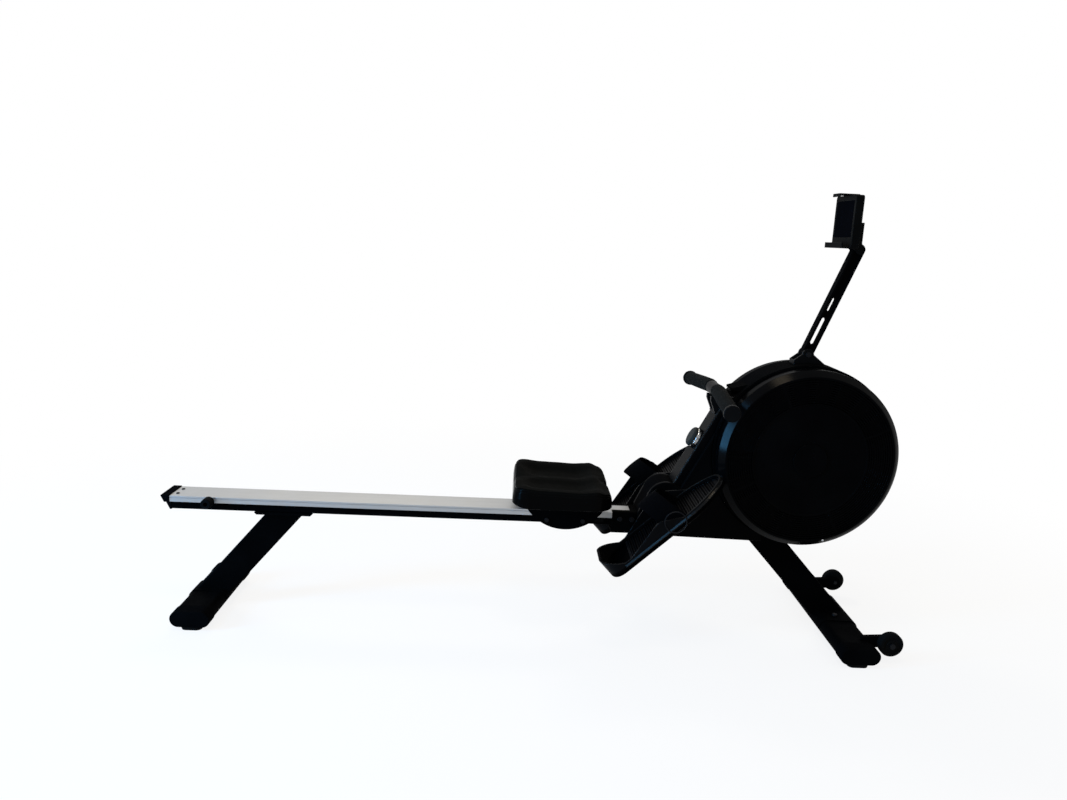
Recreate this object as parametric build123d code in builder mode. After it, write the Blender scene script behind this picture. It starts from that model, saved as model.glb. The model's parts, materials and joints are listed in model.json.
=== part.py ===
"""Rowing machine: fan housing on a braced frame, pivoting pedals and a seat rolling on a long rail.

X runs along the rail towards the fan, Y to the rower's left and Z up from the floor, in millimetres.
The origin lies on the floor, midway along the machine and on its middle plane.
"""
import os
from math import acos, asin, atan2, cos, degrees, hypot, radians, sin, sqrt, tan

from build123d import *

# Floor bars: flat-oval tubes with moulded end caps on rubber pads
pad_height = 10.0
pad_length = 58.0
pad_width = 32.0
pad_taper = 3.0
bar_width = 100.0
bar_height = 40.0
bar_wall = 2.0
cap_wall = 2.0
cap_length = 38.0
cap_end = 4.0
cap_round = 3.0
cap_clearance = 0.15
rear_bar_x = -869.0
rear_bar_length = 316.0
front_bar_ahead = 138.0
front_bar_length = 470.0

# Legs: slanted box tubes, each welded to a saddle plate that wraps its floor bar
leg_depth = 76.0
leg_width = 40.0
leg_wall = 2.5
leg_corner = 6.0
saddle_plate = 3.0
saddle_clearance = 0.1
rear_leg_top_x = -658.0
rear_leg_foot_x = -852.0
rear_saddle_length = 66.0
front_leg_behind = 71.0
front_leg_foot_back = 17.0
front_saddle_length = 164.0
leg_plate_length = 156.0
leg_plate_width = 72.0
leg_plate_thickness = 6.0

# Button-head bolts of the frame
bolt_diameter = 8.0
bolt_head = 14.0
bolt_head_height = 4.5
bolt_length = 22.0
bolt_hole_clearance = 0.2

# Rail: steel beam inside an aluminium track with overhanging lips
rail_rear_x = -958.0
rail_front_x = 227.0
rail_top_z = 326.0
track_width = 82.0
track_height = 16.0
track_plate = 3.5
track_lip = 10.0
track_groove = 1.5
rail_beam_width = 60.0
rail_beam_height = 36.0
rail_beam_wall = 2.0
rail_beam_corner = 3.0
rail_insert = 120.0
tongue_width = 34.0
tongue_length = 50.0
tongue_clearance = 0.3
end_cap_reach = 24.4
end_cap_lip = 2.0
end_cap_margin = 1.0
end_cap_plug = 24.0
end_cap_round = 2.0
plug_clearance = 0.3

# Rubber stops at both ends of the seat's travel, the rear one on the right side of the track
rear_stop_x = -853.0
rear_stop_z = 314.0
rear_stop_diameter = 28.0
rear_stop_length = 26.0
rear_stop_bore = 6.0
front_stop_x = 181.0
front_stop_length = 24.0
front_stop_height = 13.0

# Main beam below the housing, into which the rail beam slides
main_setback = 10.0
main_bottom_z = 265.0
main_wall = 2.5
main_corner = 4.0
rail_slip = 0.5
joint_bolt_from_end = (23.0, 55.0)
joint_bolt_z = 305.0

# Spine: slanted box beam that carries the pedal axle, knob and handle rest
spine_face_x = 386.0
spine_face_rise = 87.5
spine_angle = 62.9
spine_below_handle = 14.0
spine_width = 70.0
spine_depth = 36.0
spine_wall = 2.5
spine_corner = 4.0

# Fan housing: middle shroud with a grille cover on each side
shroud_radius = 241.0
shroud_lift = 2.0
shroud_stand_off = 14.83
shroud_wall = 6.0
shroud_half_width = 48.0
shroud_gap_behind = 202.0
shroud_gap_short = 6.0
cover_inset = 5.5
cover_half_width = 105.0
cover_wall = 3.0
cover_rim_round = 18.0
cover_flange = 3.0
cover_flange_inset = 2.0
cover_neck_inset = 16.0
cover_neck_length = 9.0
cover_step_inset = 5.0
cover_step = 2.0
grille_margin = 3.0
grille_slot = 3.0
grille_pitch = 6.0
grille_rings = 11
grille_spokes = 4
grille_spoke_turn = 25.0
grille_spoke_width = 5.0
hub_cap_radius = 45.0
hub_cap_height = 4.0
hub_cap_round = 2.5

# Side covers of the lower body and the cowl over the spine's foot
side_cover_inner = 35.3
side_cover_outer = 46.0
side_cover_wall = 3.0
side_cover_round = 3.0
side_cover_setback = 22.0
side_cover_behind = 90.0
side_cover_rear_lift = 3.0
side_cover_front_back = 86.0
side_cover_front_drop = 4.0
side_cover_gap = 0.8
cowl_shoulder_back = 64.0
cowl_shoulder_drop = 25.0
cowl_foot_rise = 4.5
cowl_wall = 3.0
cowl_gap = 0.3

# Fan drive: axle in two plates, twin fans outside, strap drum between
axle_diameter = 17.0
axle_length = 140.0
axle_plate_thickness = 5.0
axle_plate_foot_back = (72.0, 18.0)
axle_plate_foot_drop = 2.0
axle_plate_head = 38.0
bearing_diameter = 40.0
bearing_width = 12.0
running_clearance = 0.05
seat_clearance = 0.02
fan_tip_gap = 5.0
fan_disc = 3.0
fan_disc_inner = 52.0
fan_blade_length = 100.0
fan_blade_height = 38.0
fan_blade_thickness = 3.0
fan_blades = 20
fan_hub_radius = 30.0
fan_hub_inner = 41.5
fan_hub_outer = 62.0
drum_radius = 37.7
drum_flange_radius = 46.0
drum_half_width = 13.5
drum_flange = 3.0
drum_hub_radius = 14.0
drum_hub_half = 27.0
spring_inner_radius = 21.0
spring_outer_radius = 44.0
spring_case_inner = 18.5

# Handle: bent bar with foam grips, drawn back along a slightly rising line
handle_stand_off = 47.17
handle_bearing = 146.03
handle_end_back = 14.0
handle_end_drop = 15.0
handle_half_length = 250.0
handle_bend_y = 52.0
handle_bend_radius = 110.0
handle_bar_diameter = 28.0
handle_bar_wall = 2.0
grip_diameter = 38.0
grip_start_y = 31.0
grip_clearance = 0.2
handle_cap_length = 9.0
handle_cap_diameter = 42.0
handle_cap_round = 3.0
collar_diameter = 34.0
collar_half_length = 30.0
pull_rise = 5.0
strap_width = 24.0
strap_thickness = 2.0
strap_boss_reach = 25.0
strap_boss_height = 14.0
strap_reach = 72.0
guide_roller_radius = 12.0
guide_roller_width = 30.0
guide_pin_radius = 4.0
guide_cheek = 3.0
guide_gap = 0.3
strap_exit_height = 16.0
strap_exit_width = 34.0
hood_tip_ahead = 39.0
hood_tip_rise = 8.0
hood_thickness = 6.0
hood_width = 60.0
hood_angles = (131.5, 137.0)
rest_inner_y = 18.0
rest_rib = 10.0
rest_clearance = 0.4
rest_shelf = 12.0
rest_plate = 4.0
rest_drop = 56.0

# Resistance knob on the spine's face
knob_along = 132.0
knob_diameter = 54.0
knob_height = 20.0
knob_base_diameter = 50.0
knob_ring_diameter = 57.0
knob_ring_low = 4.0
knob_ring_height = 7.5
knob_shaft_diameter = 8.0
knob_shaft_length = 16.0
knob_gap = 0.4
knob_round = 8.0

# Mast and console
mast_ahead = -5.0
mast_rise = 24.0
mast_length = 294.2
mast_angle = 69.26
mast_width = 29.0
mast_half_thickness = 12.0
mast_slot_start = 28.0
mast_slot_length = 76.0
mast_slot_width = 13.0
mast_slit_start = 122.0
mast_slit_length = 38.0
mast_slit_width = 9.0
mast_groove = 5.0
mast_groove_width = 19.0
cheek_gap = 0.5
cheek_thickness = 6.0
bracket_half_length = 41.0
bracket_head_radius = 15.0
bracket_base_rise = 8.0
pivot_bolt_diameter = 8.0
console_stand_off = 24.2
console_depth = 21.0
console_width = 130.0
console_lift = 1.85
console_height = 132.0
console_corner = 8.0
console_edge = 2.0
screen_width = 112.0
screen_height = 92.0
screen_from_bottom = 27.0
screen_recess = 2.0
screen_thickness = 1.6
screen_fit = 0.2
ledge_reach = 21.0
ledge_thickness = 4.0
ledge_lip = 10.0
bracket_block = 25.0
bracket_block_width = 40.0
bracket_block_low = 6.0
bracket_block_high = 66.0
lug_radius = 12.0
clip_width = 44.0
clip_reach = 27.0
clip_thickness = 3.5
clip_lip = 8.0
clip_tongue_rise = 76.0
clip_gap = 0.3
clip_guide_height = 12.0
clip_guide_wall = 3.0

# Seat and its carriage
carriage_x = 99.0
skirt_radius = 122.0
skirt_centre_z = 398.0
skirt_inner = 46.0
skirt_plate = 4.0
pan_bottom_z = 358.0
pan_thickness = 4.0
pan_length = 236.0
pan_width = 230.0
pan_centre_x = 92.0
pan_corner = 30.0
roller_spacing = 97.0
upper_roller_diameter = 30.0
upper_roller_width = 18.0
upper_roller_y = 28.0
upper_axle_diameter = 10.0
lower_roller_diameter = 16.0
lower_roller_width = 9.0
lower_roller_y = 36.0
lower_bolt_diameter = 6.0
lower_bolt_head = 12.0
lower_bolt_head_height = 4.5
roller_gap = 0.3
roller_groove = 1.5
cushion_rear_x = -46.0
cushion_length = 266.0
cushion_half_width = 148.0
cushion_height = 45.0
cushion_rear_raise = 14.0
cushion_dish = 15.0
cushion_ridge = 5.0
cushion_ridge_half = 16.0
cushion_edge = 14.0
cushion_draw_in = 7.0

# Pedals, in their own slanted frame: u from heel to toe, w out of the tread
pedal_angle = 43.0
pedal_behind = 140.0
pedal_heel_drop = 8.0
pedal_inner_y = 78.0
pedal_outer_y = 220.0
pedal_heel = 54.0
pedal_toe = 318.0
pedal_straight = 190.0
pedal_nose = 42.0
pedal_heel_flat = 31.0
pedal_depth = 24.0
pedal_round = 9.0
pedal_wall = 5.0
tread_drop = 10.0
tread_plate = 6.0
heel_pocket_drop = 16.0
heel_pocket_end = 12.0
heel_rim_slope = 0.65
hollow_start = 26.0
hollow_inset = 14.0
tread_rib_pitch = 13.0
tread_rib_width = 4.0
tread_rib_height = 2.0
tread_rib_first = 26.0
tread_rib_last = 286.0
outer_wall_line = ((18.0, 0.0), (120.0, 28.0), (135.0, 28.0), (188.0, 0.0))
inner_wall_line = ((18.0, 0.0), (120.0, 34.0), (180.0, 34.0), (225.0, 0.0))
wall_thickness = 4.0
pedal_axle_u = 150.0
pedal_axle_drop = 28.0
pedal_axle_diameter = 14.0
pedal_boss_radius = 12.0
pedal_boss_inset = 12.0
pedal_boss_length = 60.0
foot_strap_start = 116.0
foot_strap_width = 58.0
foot_strap_thickness = 2.5
foot_strap_height = 73.0
foot_strap_flank = 12.0
foot_strap_draw_in = 2.0
foot_strap_gap = 0.3

# Transport wheels ahead of the front bar
wheel_ahead = 90.0
wheel_z = 51.5
wheel_y = 198.0
wheel_diameter = 63.0
wheel_width = 22.0
wheel_round = 5.0
wheel_gap = 1.0
wheel_recess = 2.0
wheel_recess_inner = 13.0
wheel_recess_outer = 22.0
wheel_bolt_diameter = 10.0
wheel_bracket_thickness = 12.0
wheel_bracket_head = 15.0
wheel_bracket_tip = 6.0
wheel_bracket_tip_ahead = 26.0
wheel_bracket_tip_rise = 5.0

# Levels and lengths that follow from the sizes above
bar_bottom_z = pad_height + cap_wall
bar_axis_z = bar_bottom_z + bar_height / 2
bar_top_z = bar_bottom_z + bar_height
rail_beam_top_z = rail_top_z - track_plate
rail_beam_bottom_z = rail_beam_top_z - rail_beam_height
lip_bottom_z = rail_top_z - track_height
main_top_z = rail_beam_top_z + rail_slip + main_wall
main_half_width = rail_beam_width / 2 + rail_slip + main_wall
joint_bolt_x = [rail_front_x + reach for reach in joint_bolt_from_end]
bolt_hole_radius = bolt_diameter / 2 + bolt_hole_clearance
spine_lean = radians(spine_angle)
spine_face_z = main_top_z + spine_face_rise

# The shroud rests just above the main beam's underside and stands off the spine's face
fan_z = main_bottom_z + shroud_lift + shroud_radius
fan_from_face = shroud_radius + shroud_stand_off + (fan_z - spine_face_z) * cos(spine_lean)
fan_x = spine_face_x + fan_from_face / sin(spine_lean)
fan_axis = Axis((fan_x, 0, fan_z), (0, 1, 0))
shroud_inner = shroud_radius - shroud_wall
shroud_top_z = fan_z + shroud_radius
shroud_gap_rear_x = fan_x - shroud_gap_behind
shroud_gap_front_x = fan_x - shroud_gap_short
cover_radius = shroud_radius - cover_inset
cover_flange_radius = shroud_radius - cover_flange_inset
cover_neck_radius = shroud_radius - cover_neck_inset
grille_outer_radius = cover_radius - cover_rim_round - grille_margin
grille_inner_radius = grille_outer_radius - (grille_rings - 1) * grille_pitch - grille_slot
cover_step_radius = grille_inner_radius - cover_step_inset
fan_radius = cover_neck_radius - cover_wall - fan_tip_gap
fan_blade_inner = fan_radius - fan_blade_length

# The frame's front end, the lower body and the pedals follow the fan, the spine and the main beam
main_front_x = fan_x - main_setback
front_bar_x = fan_x + front_bar_ahead
front_leg_top_x = fan_x - front_leg_behind
front_leg_foot_x = front_bar_x - front_leg_foot_back
wheel_x = front_bar_x + wheel_ahead
wheel_bracket_tip_x = front_bar_x + wheel_bracket_tip_ahead
axle_plate_foot_x = [fan_x - back for back in axle_plate_foot_back]
side_cover_rear_x = spine_face_x - side_cover_behind
side_cover_rear_bottom_z = main_bottom_z + side_cover_rear_lift
side_cover_front_x = fan_x - side_cover_front_back
side_cover_front_bottom_z = main_bottom_z - side_cover_front_drop
cowl_shoulder_x = spine_face_x - cowl_shoulder_back
cowl_shoulder_z = spine_face_z - cowl_shoulder_drop
cowl_foot_z = main_top_z + cowl_foot_rise
pedal_heel_x = spine_face_x - pedal_behind
pedal_heel_z = main_bottom_z - pedal_heel_drop

# The handle hangs off the shroud's rear, the mast and the console stand on its top
handle_x = fan_x + (shroud_radius + handle_stand_off) * cos(radians(handle_bearing))
handle_z = fan_z + (shroud_radius + handle_stand_off) * sin(radians(handle_bearing))
spine_top_z = handle_z - spine_below_handle
hood_tip_x = handle_x + hood_tip_ahead
hood_tip_z = handle_z + hood_tip_rise
mast_lean = radians(mast_angle)
mast_pivot_x = fan_x + mast_ahead
mast_pivot_z = shroud_top_z + mast_rise
mast_top_x = mast_pivot_x + mast_length * cos(mast_lean)
mast_top_z = mast_pivot_z + mast_length * sin(mast_lean)
bracket_rear_x = fan_x - bracket_half_length
bracket_front_x = fan_x + bracket_half_length
bracket_base_z = shroud_top_z + bracket_base_rise
console_back_x = mast_top_x - console_stand_off
console_front_x = console_back_x - console_depth
console_bottom_z = mast_top_z + console_lift
console_top_z = console_bottom_z + console_height
clip_tongue_low_z = console_bottom_z + clip_tongue_rise


def save(node, name):
    """Labels a finished piece and writes it."""
    node.part.label = name
    export_step(node.part, f"parts/{name}.step")


def spine_point(along, out=0.0):
    """X and Z of a point on the spine's face, that far up it and that far out of it."""
    x = spine_face_x + along * cos(spine_lean) - out * sin(spine_lean)
    z = spine_face_z + along * sin(spine_lean) + out * cos(spine_lean)
    return x, z


def spine_along(z):
    """Distance up the spine's face at which it reaches a height."""
    return (z - spine_face_z) / sin(spine_lean)


def cut_disc(x, z, radius, half_width):
    """Takes a cylinder across Y, centred on the middle plane, out of the piece being built."""
    with BuildSketch(Plane.XZ) as disc:
        with Locations((x, z)):
            Circle(radius)
    extrude(disc.sketch, amount=half_width, both=True, mode=Mode.SUBTRACT)


os.makedirs("parts", exist_ok=True)


# Floor bars
# The front saddle's bolts sit midway between the leg's side and the saddle's end
saddle_bolt_y = (leg_width + front_saddle_length) / 4


def foot_bar(x, length):
    """Flat-oval tube across the machine."""
    with BuildPart() as bar:
        with BuildSketch(Plane.XZ):
            with Locations((x, bar_axis_z)):
                SlotOverall(bar_width, bar_height)
                SlotOverall(bar_width - 2 * bar_wall, bar_height - 2 * bar_wall, mode=Mode.SUBTRACT)
        extrude(amount=length / 2, both=True)
    return bar.part


with BuildPart() as rear_foot_bar:
    add(foot_bar(rear_bar_x, rear_bar_length))
save(rear_foot_bar, "rear_foot_bar")

with BuildPart() as front_foot_bar:
    add(foot_bar(front_bar_x, front_bar_length))
    with Locations((front_bar_x, -saddle_bolt_y, bar_top_z), (front_bar_x, saddle_bolt_y, bar_top_z)):
        Hole(bolt_hole_radius, depth=2 * bar_wall)
save(front_foot_bar, "front_foot_bar")


def foot_cap_pair(x, length):
    """Moulded caps over both ends of a floor bar."""
    mouth = Plane.XZ.offset(length / 2 + cap_end - cap_length)
    with BuildPart() as caps:
        with BuildSketch(mouth):
            with Locations((x, bar_axis_z)):
                SlotOverall(bar_width + 2 * cap_wall, bar_height + 2 * cap_wall)
        extrude(amount=cap_length)
        fillet(caps.faces().sort_by(Axis.Y)[0].edges(), cap_round)
        with BuildSketch(mouth):
            with Locations((x, bar_axis_z)):
                SlotOverall(bar_width + 2 * cap_clearance, bar_height + 2 * cap_clearance)
        extrude(amount=cap_length - cap_end, mode=Mode.SUBTRACT)
        mirror(about=Plane.XZ)
    return caps.part


rear_caps = foot_cap_pair(rear_bar_x, rear_bar_length)
front_caps = foot_cap_pair(front_bar_x, front_bar_length)
with BuildPart() as foot_caps:
    add(rear_caps)
    add(front_caps)
save(foot_caps, "foot_caps")

with BuildPart() as foot_pads:
    for bar_x, bar_length in ((rear_bar_x, rear_bar_length), (front_bar_x, front_bar_length)):
        for side in (-1, 1):
            with BuildSketch():
                with Locations((bar_x, side * ((bar_length - cap_length) / 2 + cap_end))):
                    SlotOverall(pad_length - 2 * pad_taper, pad_width - 2 * pad_taper)
            extrude(amount=pad_height, taper=-degrees(atan2(pad_taper, pad_height)))
save(foot_pads, "foot_pads")


# Legs
def leg(top_x, top_z, foot_x, bar_x, saddle_length):
    """Box-tube leg cut to its saddle, which wraps the upper half of a floor bar."""
    saddle_top_z = bar_top_z + saddle_clearance + saddle_plate
    lean = atan2(top_z - saddle_top_z, top_x - foot_x)
    half = leg_depth / 2 / sin(lean)
    low_x = foot_x - (saddle_top_z - bar_axis_z) / tan(lean)
    grown = saddle_clearance + saddle_plate
    with BuildPart() as built:
        with BuildSketch(Plane.XZ):
            with BuildLine():
                Polyline(
                    (top_x - half, top_z),
                    (top_x + half, top_z),
                    (low_x + half, bar_axis_z),
                    (low_x - half, bar_axis_z),
                    close=True,
                )
            make_face()
        extrude(amount=leg_width / 2, both=True)
        along = Axis((0, 0, 0), (top_x - low_x, 0, top_z - bar_axis_z))
        fillet(built.edges().filter_by(along), leg_corner)
        ends = built.faces().filter_by(Axis.Z)
        offset(amount=-leg_wall, openings=ends)
        with BuildSketch(Plane.XZ):
            with Locations((bar_x, bar_axis_z)):
                SlotOverall(bar_width + 2 * grown, bar_height + 2 * grown)
        extrude(amount=leg_width, both=True, mode=Mode.SUBTRACT)
        with BuildSketch(Plane.XZ):
            with Locations((bar_x, bar_axis_z)):
                SlotOverall(bar_width + 2 * grown, bar_height + 2 * grown)
                SlotOverall(
                    bar_width + 2 * saddle_clearance, bar_height + 2 * saddle_clearance, mode=Mode.SUBTRACT
                )
            with Locations((bar_x, bar_axis_z - bar_height)):
                Rectangle(2 * bar_width, 2 * bar_height, mode=Mode.SUBTRACT)
        extrude(amount=saddle_length / 2, both=True)
    return built.part


rear_leg_top_z = rail_beam_bottom_z - leg_plate_thickness
rear_leg_tube = leg(rear_leg_top_x, rear_leg_top_z, rear_leg_foot_x, rear_bar_x, rear_saddle_length)
with BuildPart() as rear_leg:
    add(rear_leg_tube)
    with BuildSketch(Plane.XZ):
        with BuildLine():
            Polyline(
                (rear_leg_top_x - leg_plate_length / 2, rail_beam_bottom_z),
                (rear_leg_top_x + leg_plate_length / 2, rail_beam_bottom_z),
                (rear_leg_top_x + leg_plate_length / 2 - leg_plate_thickness, rear_leg_top_z),
                (rear_leg_top_x - leg_plate_length / 2 + leg_plate_thickness, rear_leg_top_z),
                close=True,
            )
        make_face()
    extrude(amount=leg_plate_width / 2, both=True)
save(rear_leg, "rear_leg")

front_leg_tube = leg(front_leg_top_x, main_bottom_z, front_leg_foot_x, front_bar_x, front_saddle_length)
saddle_top_z = bar_top_z + saddle_clearance + saddle_plate
with BuildPart() as front_leg:
    add(front_leg_tube)
    with Locations((front_bar_x, -saddle_bolt_y, saddle_top_z), (front_bar_x, saddle_bolt_y, saddle_top_z)):
        Hole(bolt_hole_radius, depth=2 * saddle_plate)
save(front_leg, "front_leg")

# Rail
joint_bolt_points = [(x, joint_bolt_z) for x in joint_bolt_x]

with BuildPart() as rail_beam:
    with BuildSketch(Plane.YZ.offset(rail_rear_x)):
        with Locations((0, rail_beam_top_z - rail_beam_height / 2)):
            RectangleRounded(rail_beam_width, rail_beam_height, rail_beam_corner)
            Rectangle(
                rail_beam_width - 2 * rail_beam_wall,
                rail_beam_height - 2 * rail_beam_wall,
                mode=Mode.SUBTRACT,
            )
    extrude(amount=rail_front_x + rail_insert - rail_rear_x)
    with BuildSketch(Plane.XZ):
        with Locations(*joint_bolt_points):
            Circle(bolt_hole_radius)
    extrude(amount=rail_beam_width, both=True, mode=Mode.SUBTRACT)
save(rail_beam, "rail_beam")

with BuildPart() as rail_track:
    with BuildSketch(Plane.YZ.offset(rail_rear_x)):
        with Locations((0, rail_top_z - track_plate / 2)):
            Rectangle(track_width, track_plate)
        for side in (-1, 1):
            with Locations((side * (track_width - track_lip) / 2, rail_top_z - track_height / 2)):
                Rectangle(track_lip, track_height)
            with Locations((side * track_width / 2, rail_top_z - track_plate - track_groove)):
                Rectangle(2 * track_groove, track_groove, mode=Mode.SUBTRACT)
    extrude(amount=rail_front_x - rail_rear_x)
    with Locations((rail_front_x + tongue_length / 2, 0, rail_top_z - track_plate / 2)):
        Box(tongue_length, tongue_width, track_plate)
    with BuildSketch(Plane.XZ.offset(track_width / 2)):
        with Locations((rear_stop_x, rear_stop_z)):
            Circle(rear_stop_bore / 2)
    extrude(amount=-track_lip, mode=Mode.SUBTRACT)
save(rail_track, "rail_track")

with BuildPart() as rail_end_cap:
    with BuildSketch(Plane.XZ):
        with BuildLine():
            Polyline(
                (rail_rear_x, rail_beam_bottom_z - end_cap_margin),
                (rail_rear_x, rail_top_z + end_cap_lip),
                (rail_rear_x - end_cap_reach, rail_top_z + end_cap_lip),
                (rail_rear_x - 2 * end_cap_lip, rail_beam_bottom_z - end_cap_margin),
                close=True,
            )
        make_face()
    extrude(amount=track_width / 2 + end_cap_margin, both=True)
    outer = rail_end_cap.faces().sort_by(Axis.X)[0]
    fillet(outer.edges(), end_cap_round)
    with BuildSketch(Plane.YZ.offset(rail_rear_x)):
        for side in (-1, 1):
            cheek_y = side * (rail_beam_width / 2 + end_cap_margin + track_width / 2)
            with Locations((cheek_y, lip_bottom_z - end_cap_margin - rail_beam_height)):
                Rectangle(track_width, 2 * rail_beam_height)
    extrude(amount=-2 * end_cap_reach, mode=Mode.SUBTRACT)
    plug_width = rail_beam_width - 2 * rail_beam_wall - 2 * plug_clearance
    plug_height = rail_beam_height - 2 * rail_beam_wall - 2 * plug_clearance
    with Locations((rail_rear_x + end_cap_plug / 2, 0, rail_beam_top_z - rail_beam_height / 2)):
        Box(end_cap_plug, plug_width, plug_height)
save(rail_end_cap, "rail_end_cap")

with BuildPart() as rear_stop:
    with BuildSketch(Plane.XZ.offset(track_width / 2)):
        with Locations((rear_stop_x, rear_stop_z)):
            Circle(rear_stop_diameter / 2)
    extrude(amount=rear_stop_length)
    fillet(rear_stop.faces().sort_by(Axis.Y)[0].edges(), cap_round)
    with BuildSketch(Plane.XZ.offset(track_width / 2 + rear_stop_length)):
        with Locations((rear_stop_x, rear_stop_z)):
            Circle(rear_stop_bore)
    extrude(amount=-rear_stop_length / 2, mode=Mode.SUBTRACT)
    with BuildSketch(Plane.XZ.offset(track_width / 2)):
        with Locations((rear_stop_x, rear_stop_z)):
            Circle(rear_stop_bore / 2 - cap_clearance)
    extrude(amount=-track_lip)
save(rear_stop, "rear_stop")

with BuildPart() as front_stops:
    stop_width = track_width / 2 - rail_beam_width / 2
    for side in (-1, 1):
        with Locations(
            (
                front_stop_x + front_stop_length / 2,
                side * (rail_beam_width + stop_width) / 2,
                lip_bottom_z - front_stop_height / 2,
            )
        ):
            Box(front_stop_length, stop_width, front_stop_height)
    fillet(front_stops.edges().filter_by(Axis.Z).group_by(Axis.X)[0], cap_round)
save(front_stops, "front_stops")

# Main beam
with BuildPart() as main_beam:
    main_height = main_top_z - main_bottom_z
    with BuildSketch(Plane.YZ.offset(rail_front_x)):
        with Locations((0, main_top_z - main_height / 2)):
            RectangleRounded(2 * main_half_width, main_height, main_corner)
            Rectangle(2 * (main_half_width - main_wall), main_height - 2 * main_wall, mode=Mode.SUBTRACT)
    extrude(amount=main_front_x - rail_front_x)
    with BuildSketch(Plane.XY.offset(rail_beam_top_z)):
        with Locations((rail_front_x + tongue_length / 2, 0)):
            Rectangle(tongue_length + 2 * tongue_clearance, tongue_width + 2 * tongue_clearance)
    extrude(amount=track_plate, mode=Mode.SUBTRACT)
    with BuildSketch(Plane.XZ):
        with Locations(*joint_bolt_points):
            Circle(bolt_hole_radius)
    extrude(amount=2 * main_half_width, both=True, mode=Mode.SUBTRACT)
save(main_beam, "main_beam")

# Button-head bolts of the front saddle and of the joint between rail and main beam
bolt_seats = [Plane((front_bar_x, side * saddle_bolt_y, saddle_top_z)) for side in (-1, 1)]
bolt_seats += [
    Plane((x, side * main_half_width, joint_bolt_z), x_dir=(1, 0, 0), z_dir=(0, side, 0))
    for x in joint_bolt_x
    for side in (-1, 1)
]
with BuildPart() as frame_bolts:
    for bolt_seat in bolt_seats:
        with BuildSketch(bolt_seat):
            Circle(bolt_head / 2)
        extrude(amount=bolt_head_height, taper=15)
        with BuildSketch(bolt_seat):
            Circle(bolt_diameter / 2)
        extrude(amount=-bolt_length)
save(frame_bolts, "frame_bolts")

# Spine, cut to the shroud's curve at its upper back
pedal_lean = radians(pedal_angle)


def pedal_point(along, out):
    """X and Z of a point in the pedal's slanted frame."""
    x = pedal_heel_x + along * cos(pedal_lean) - out * sin(pedal_lean)
    z = pedal_heel_z + along * sin(pedal_lean) + out * cos(pedal_lean)
    return x, z


pedal_axle_x, pedal_axle_z = pedal_point(pedal_axle_u, -pedal_axle_drop)
knob_x, knob_z = spine_point(knob_along)
knob_seat = Plane(
    (knob_x, 0, knob_z), x_dir=(0, 1, 0), z_dir=(-sin(spine_lean), 0, cos(spine_lean))
)
spine_foot = spine_along(main_top_z)
spine_top = spine_along(spine_top_z)
spine_span = spine_depth / sin(spine_lean)

with BuildPart() as spine:
    with BuildSketch(Plane.XZ):
        with BuildLine():
            foot = spine_point(spine_foot)
            top = spine_point(spine_top)
            Polyline(foot, top, (top[0] + spine_span, top[1]), (foot[0] + spine_span, foot[1]), close=True)
        make_face()
    extrude(amount=spine_width / 2, both=True)
    up_spine = Axis((0, 0, 0), (cos(spine_lean), 0, sin(spine_lean)))
    fillet(spine.edges().filter_by(up_spine), spine_corner)
    offset(amount=-spine_wall, openings=spine.faces().filter_by(Axis.Z))
    cut_disc(fan_x, fan_z, shroud_radius + side_cover_gap, spine_width)
    cut_disc(pedal_axle_x, pedal_axle_z, pedal_axle_diameter / 2 + seat_clearance, spine_width)
    with BuildSketch(knob_seat):
        Circle(knob_shaft_diameter / 2 + running_clearance)
    extrude(amount=-2 * spine_wall, mode=Mode.SUBTRACT)
save(spine, "spine")

with BuildPart() as pedal_axle:
    with BuildSketch(Plane.XZ):
        with Locations((pedal_axle_x, pedal_axle_z)):
            Circle(pedal_axle_diameter / 2)
    extrude(amount=pedal_inner_y + pedal_boss_inset + pedal_boss_length, both=True)
    chamfer(pedal_axle.edges(), 1)
save(pedal_axle, "pedal_axle")


# Side covers and cowl
def body_outline():
    """Draws the lower body's outline, from the cowl's foot round to its bottom edge."""
    face_x, face_z = spine_point(0)
    start_x, start_z = spine_point(0, -side_cover_setback)
    reach = shroud_radius + side_cover_gap
    run = (fan_x - start_x) * cos(spine_lean) + (fan_z - start_z) * sin(spine_lean)
    off = (fan_x - start_x) * sin(spine_lean) - (fan_z - start_z) * cos(spine_lean)
    length = run - sqrt(reach**2 - off**2)
    high = (start_x + length * cos(spine_lean), start_z + length * sin(spine_lean))
    high_angle = atan2(high[1] - fan_z, high[0] - fan_x)
    low_angle = -acos((side_cover_front_x - fan_x) / reach)
    low = (side_cover_front_x, fan_z + reach * sin(low_angle))
    middle = (high_angle + low_angle % radians(360)) / 2
    Polyline(
        low,
        (side_cover_front_x, side_cover_front_bottom_z),
        (side_cover_rear_x, side_cover_rear_bottom_z),
        (side_cover_rear_x, cowl_foot_z),
    )
    cowl_line()
    Polyline((face_x, face_z), (start_x, start_z), high)
    ThreePointArc(high, (fan_x + reach * cos(middle), fan_z + reach * sin(middle)), low)


def cowl_line():
    """Draws the cowl's curved back, from its foot over the shoulder to the spine's face."""
    foot = (side_cover_rear_x, cowl_foot_z)
    shoulder = (cowl_shoulder_x, cowl_shoulder_z)
    rise = Line(foot, shoulder)
    TangentArc(shoulder, spine_point(0), tangent=rise % 1)


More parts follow.
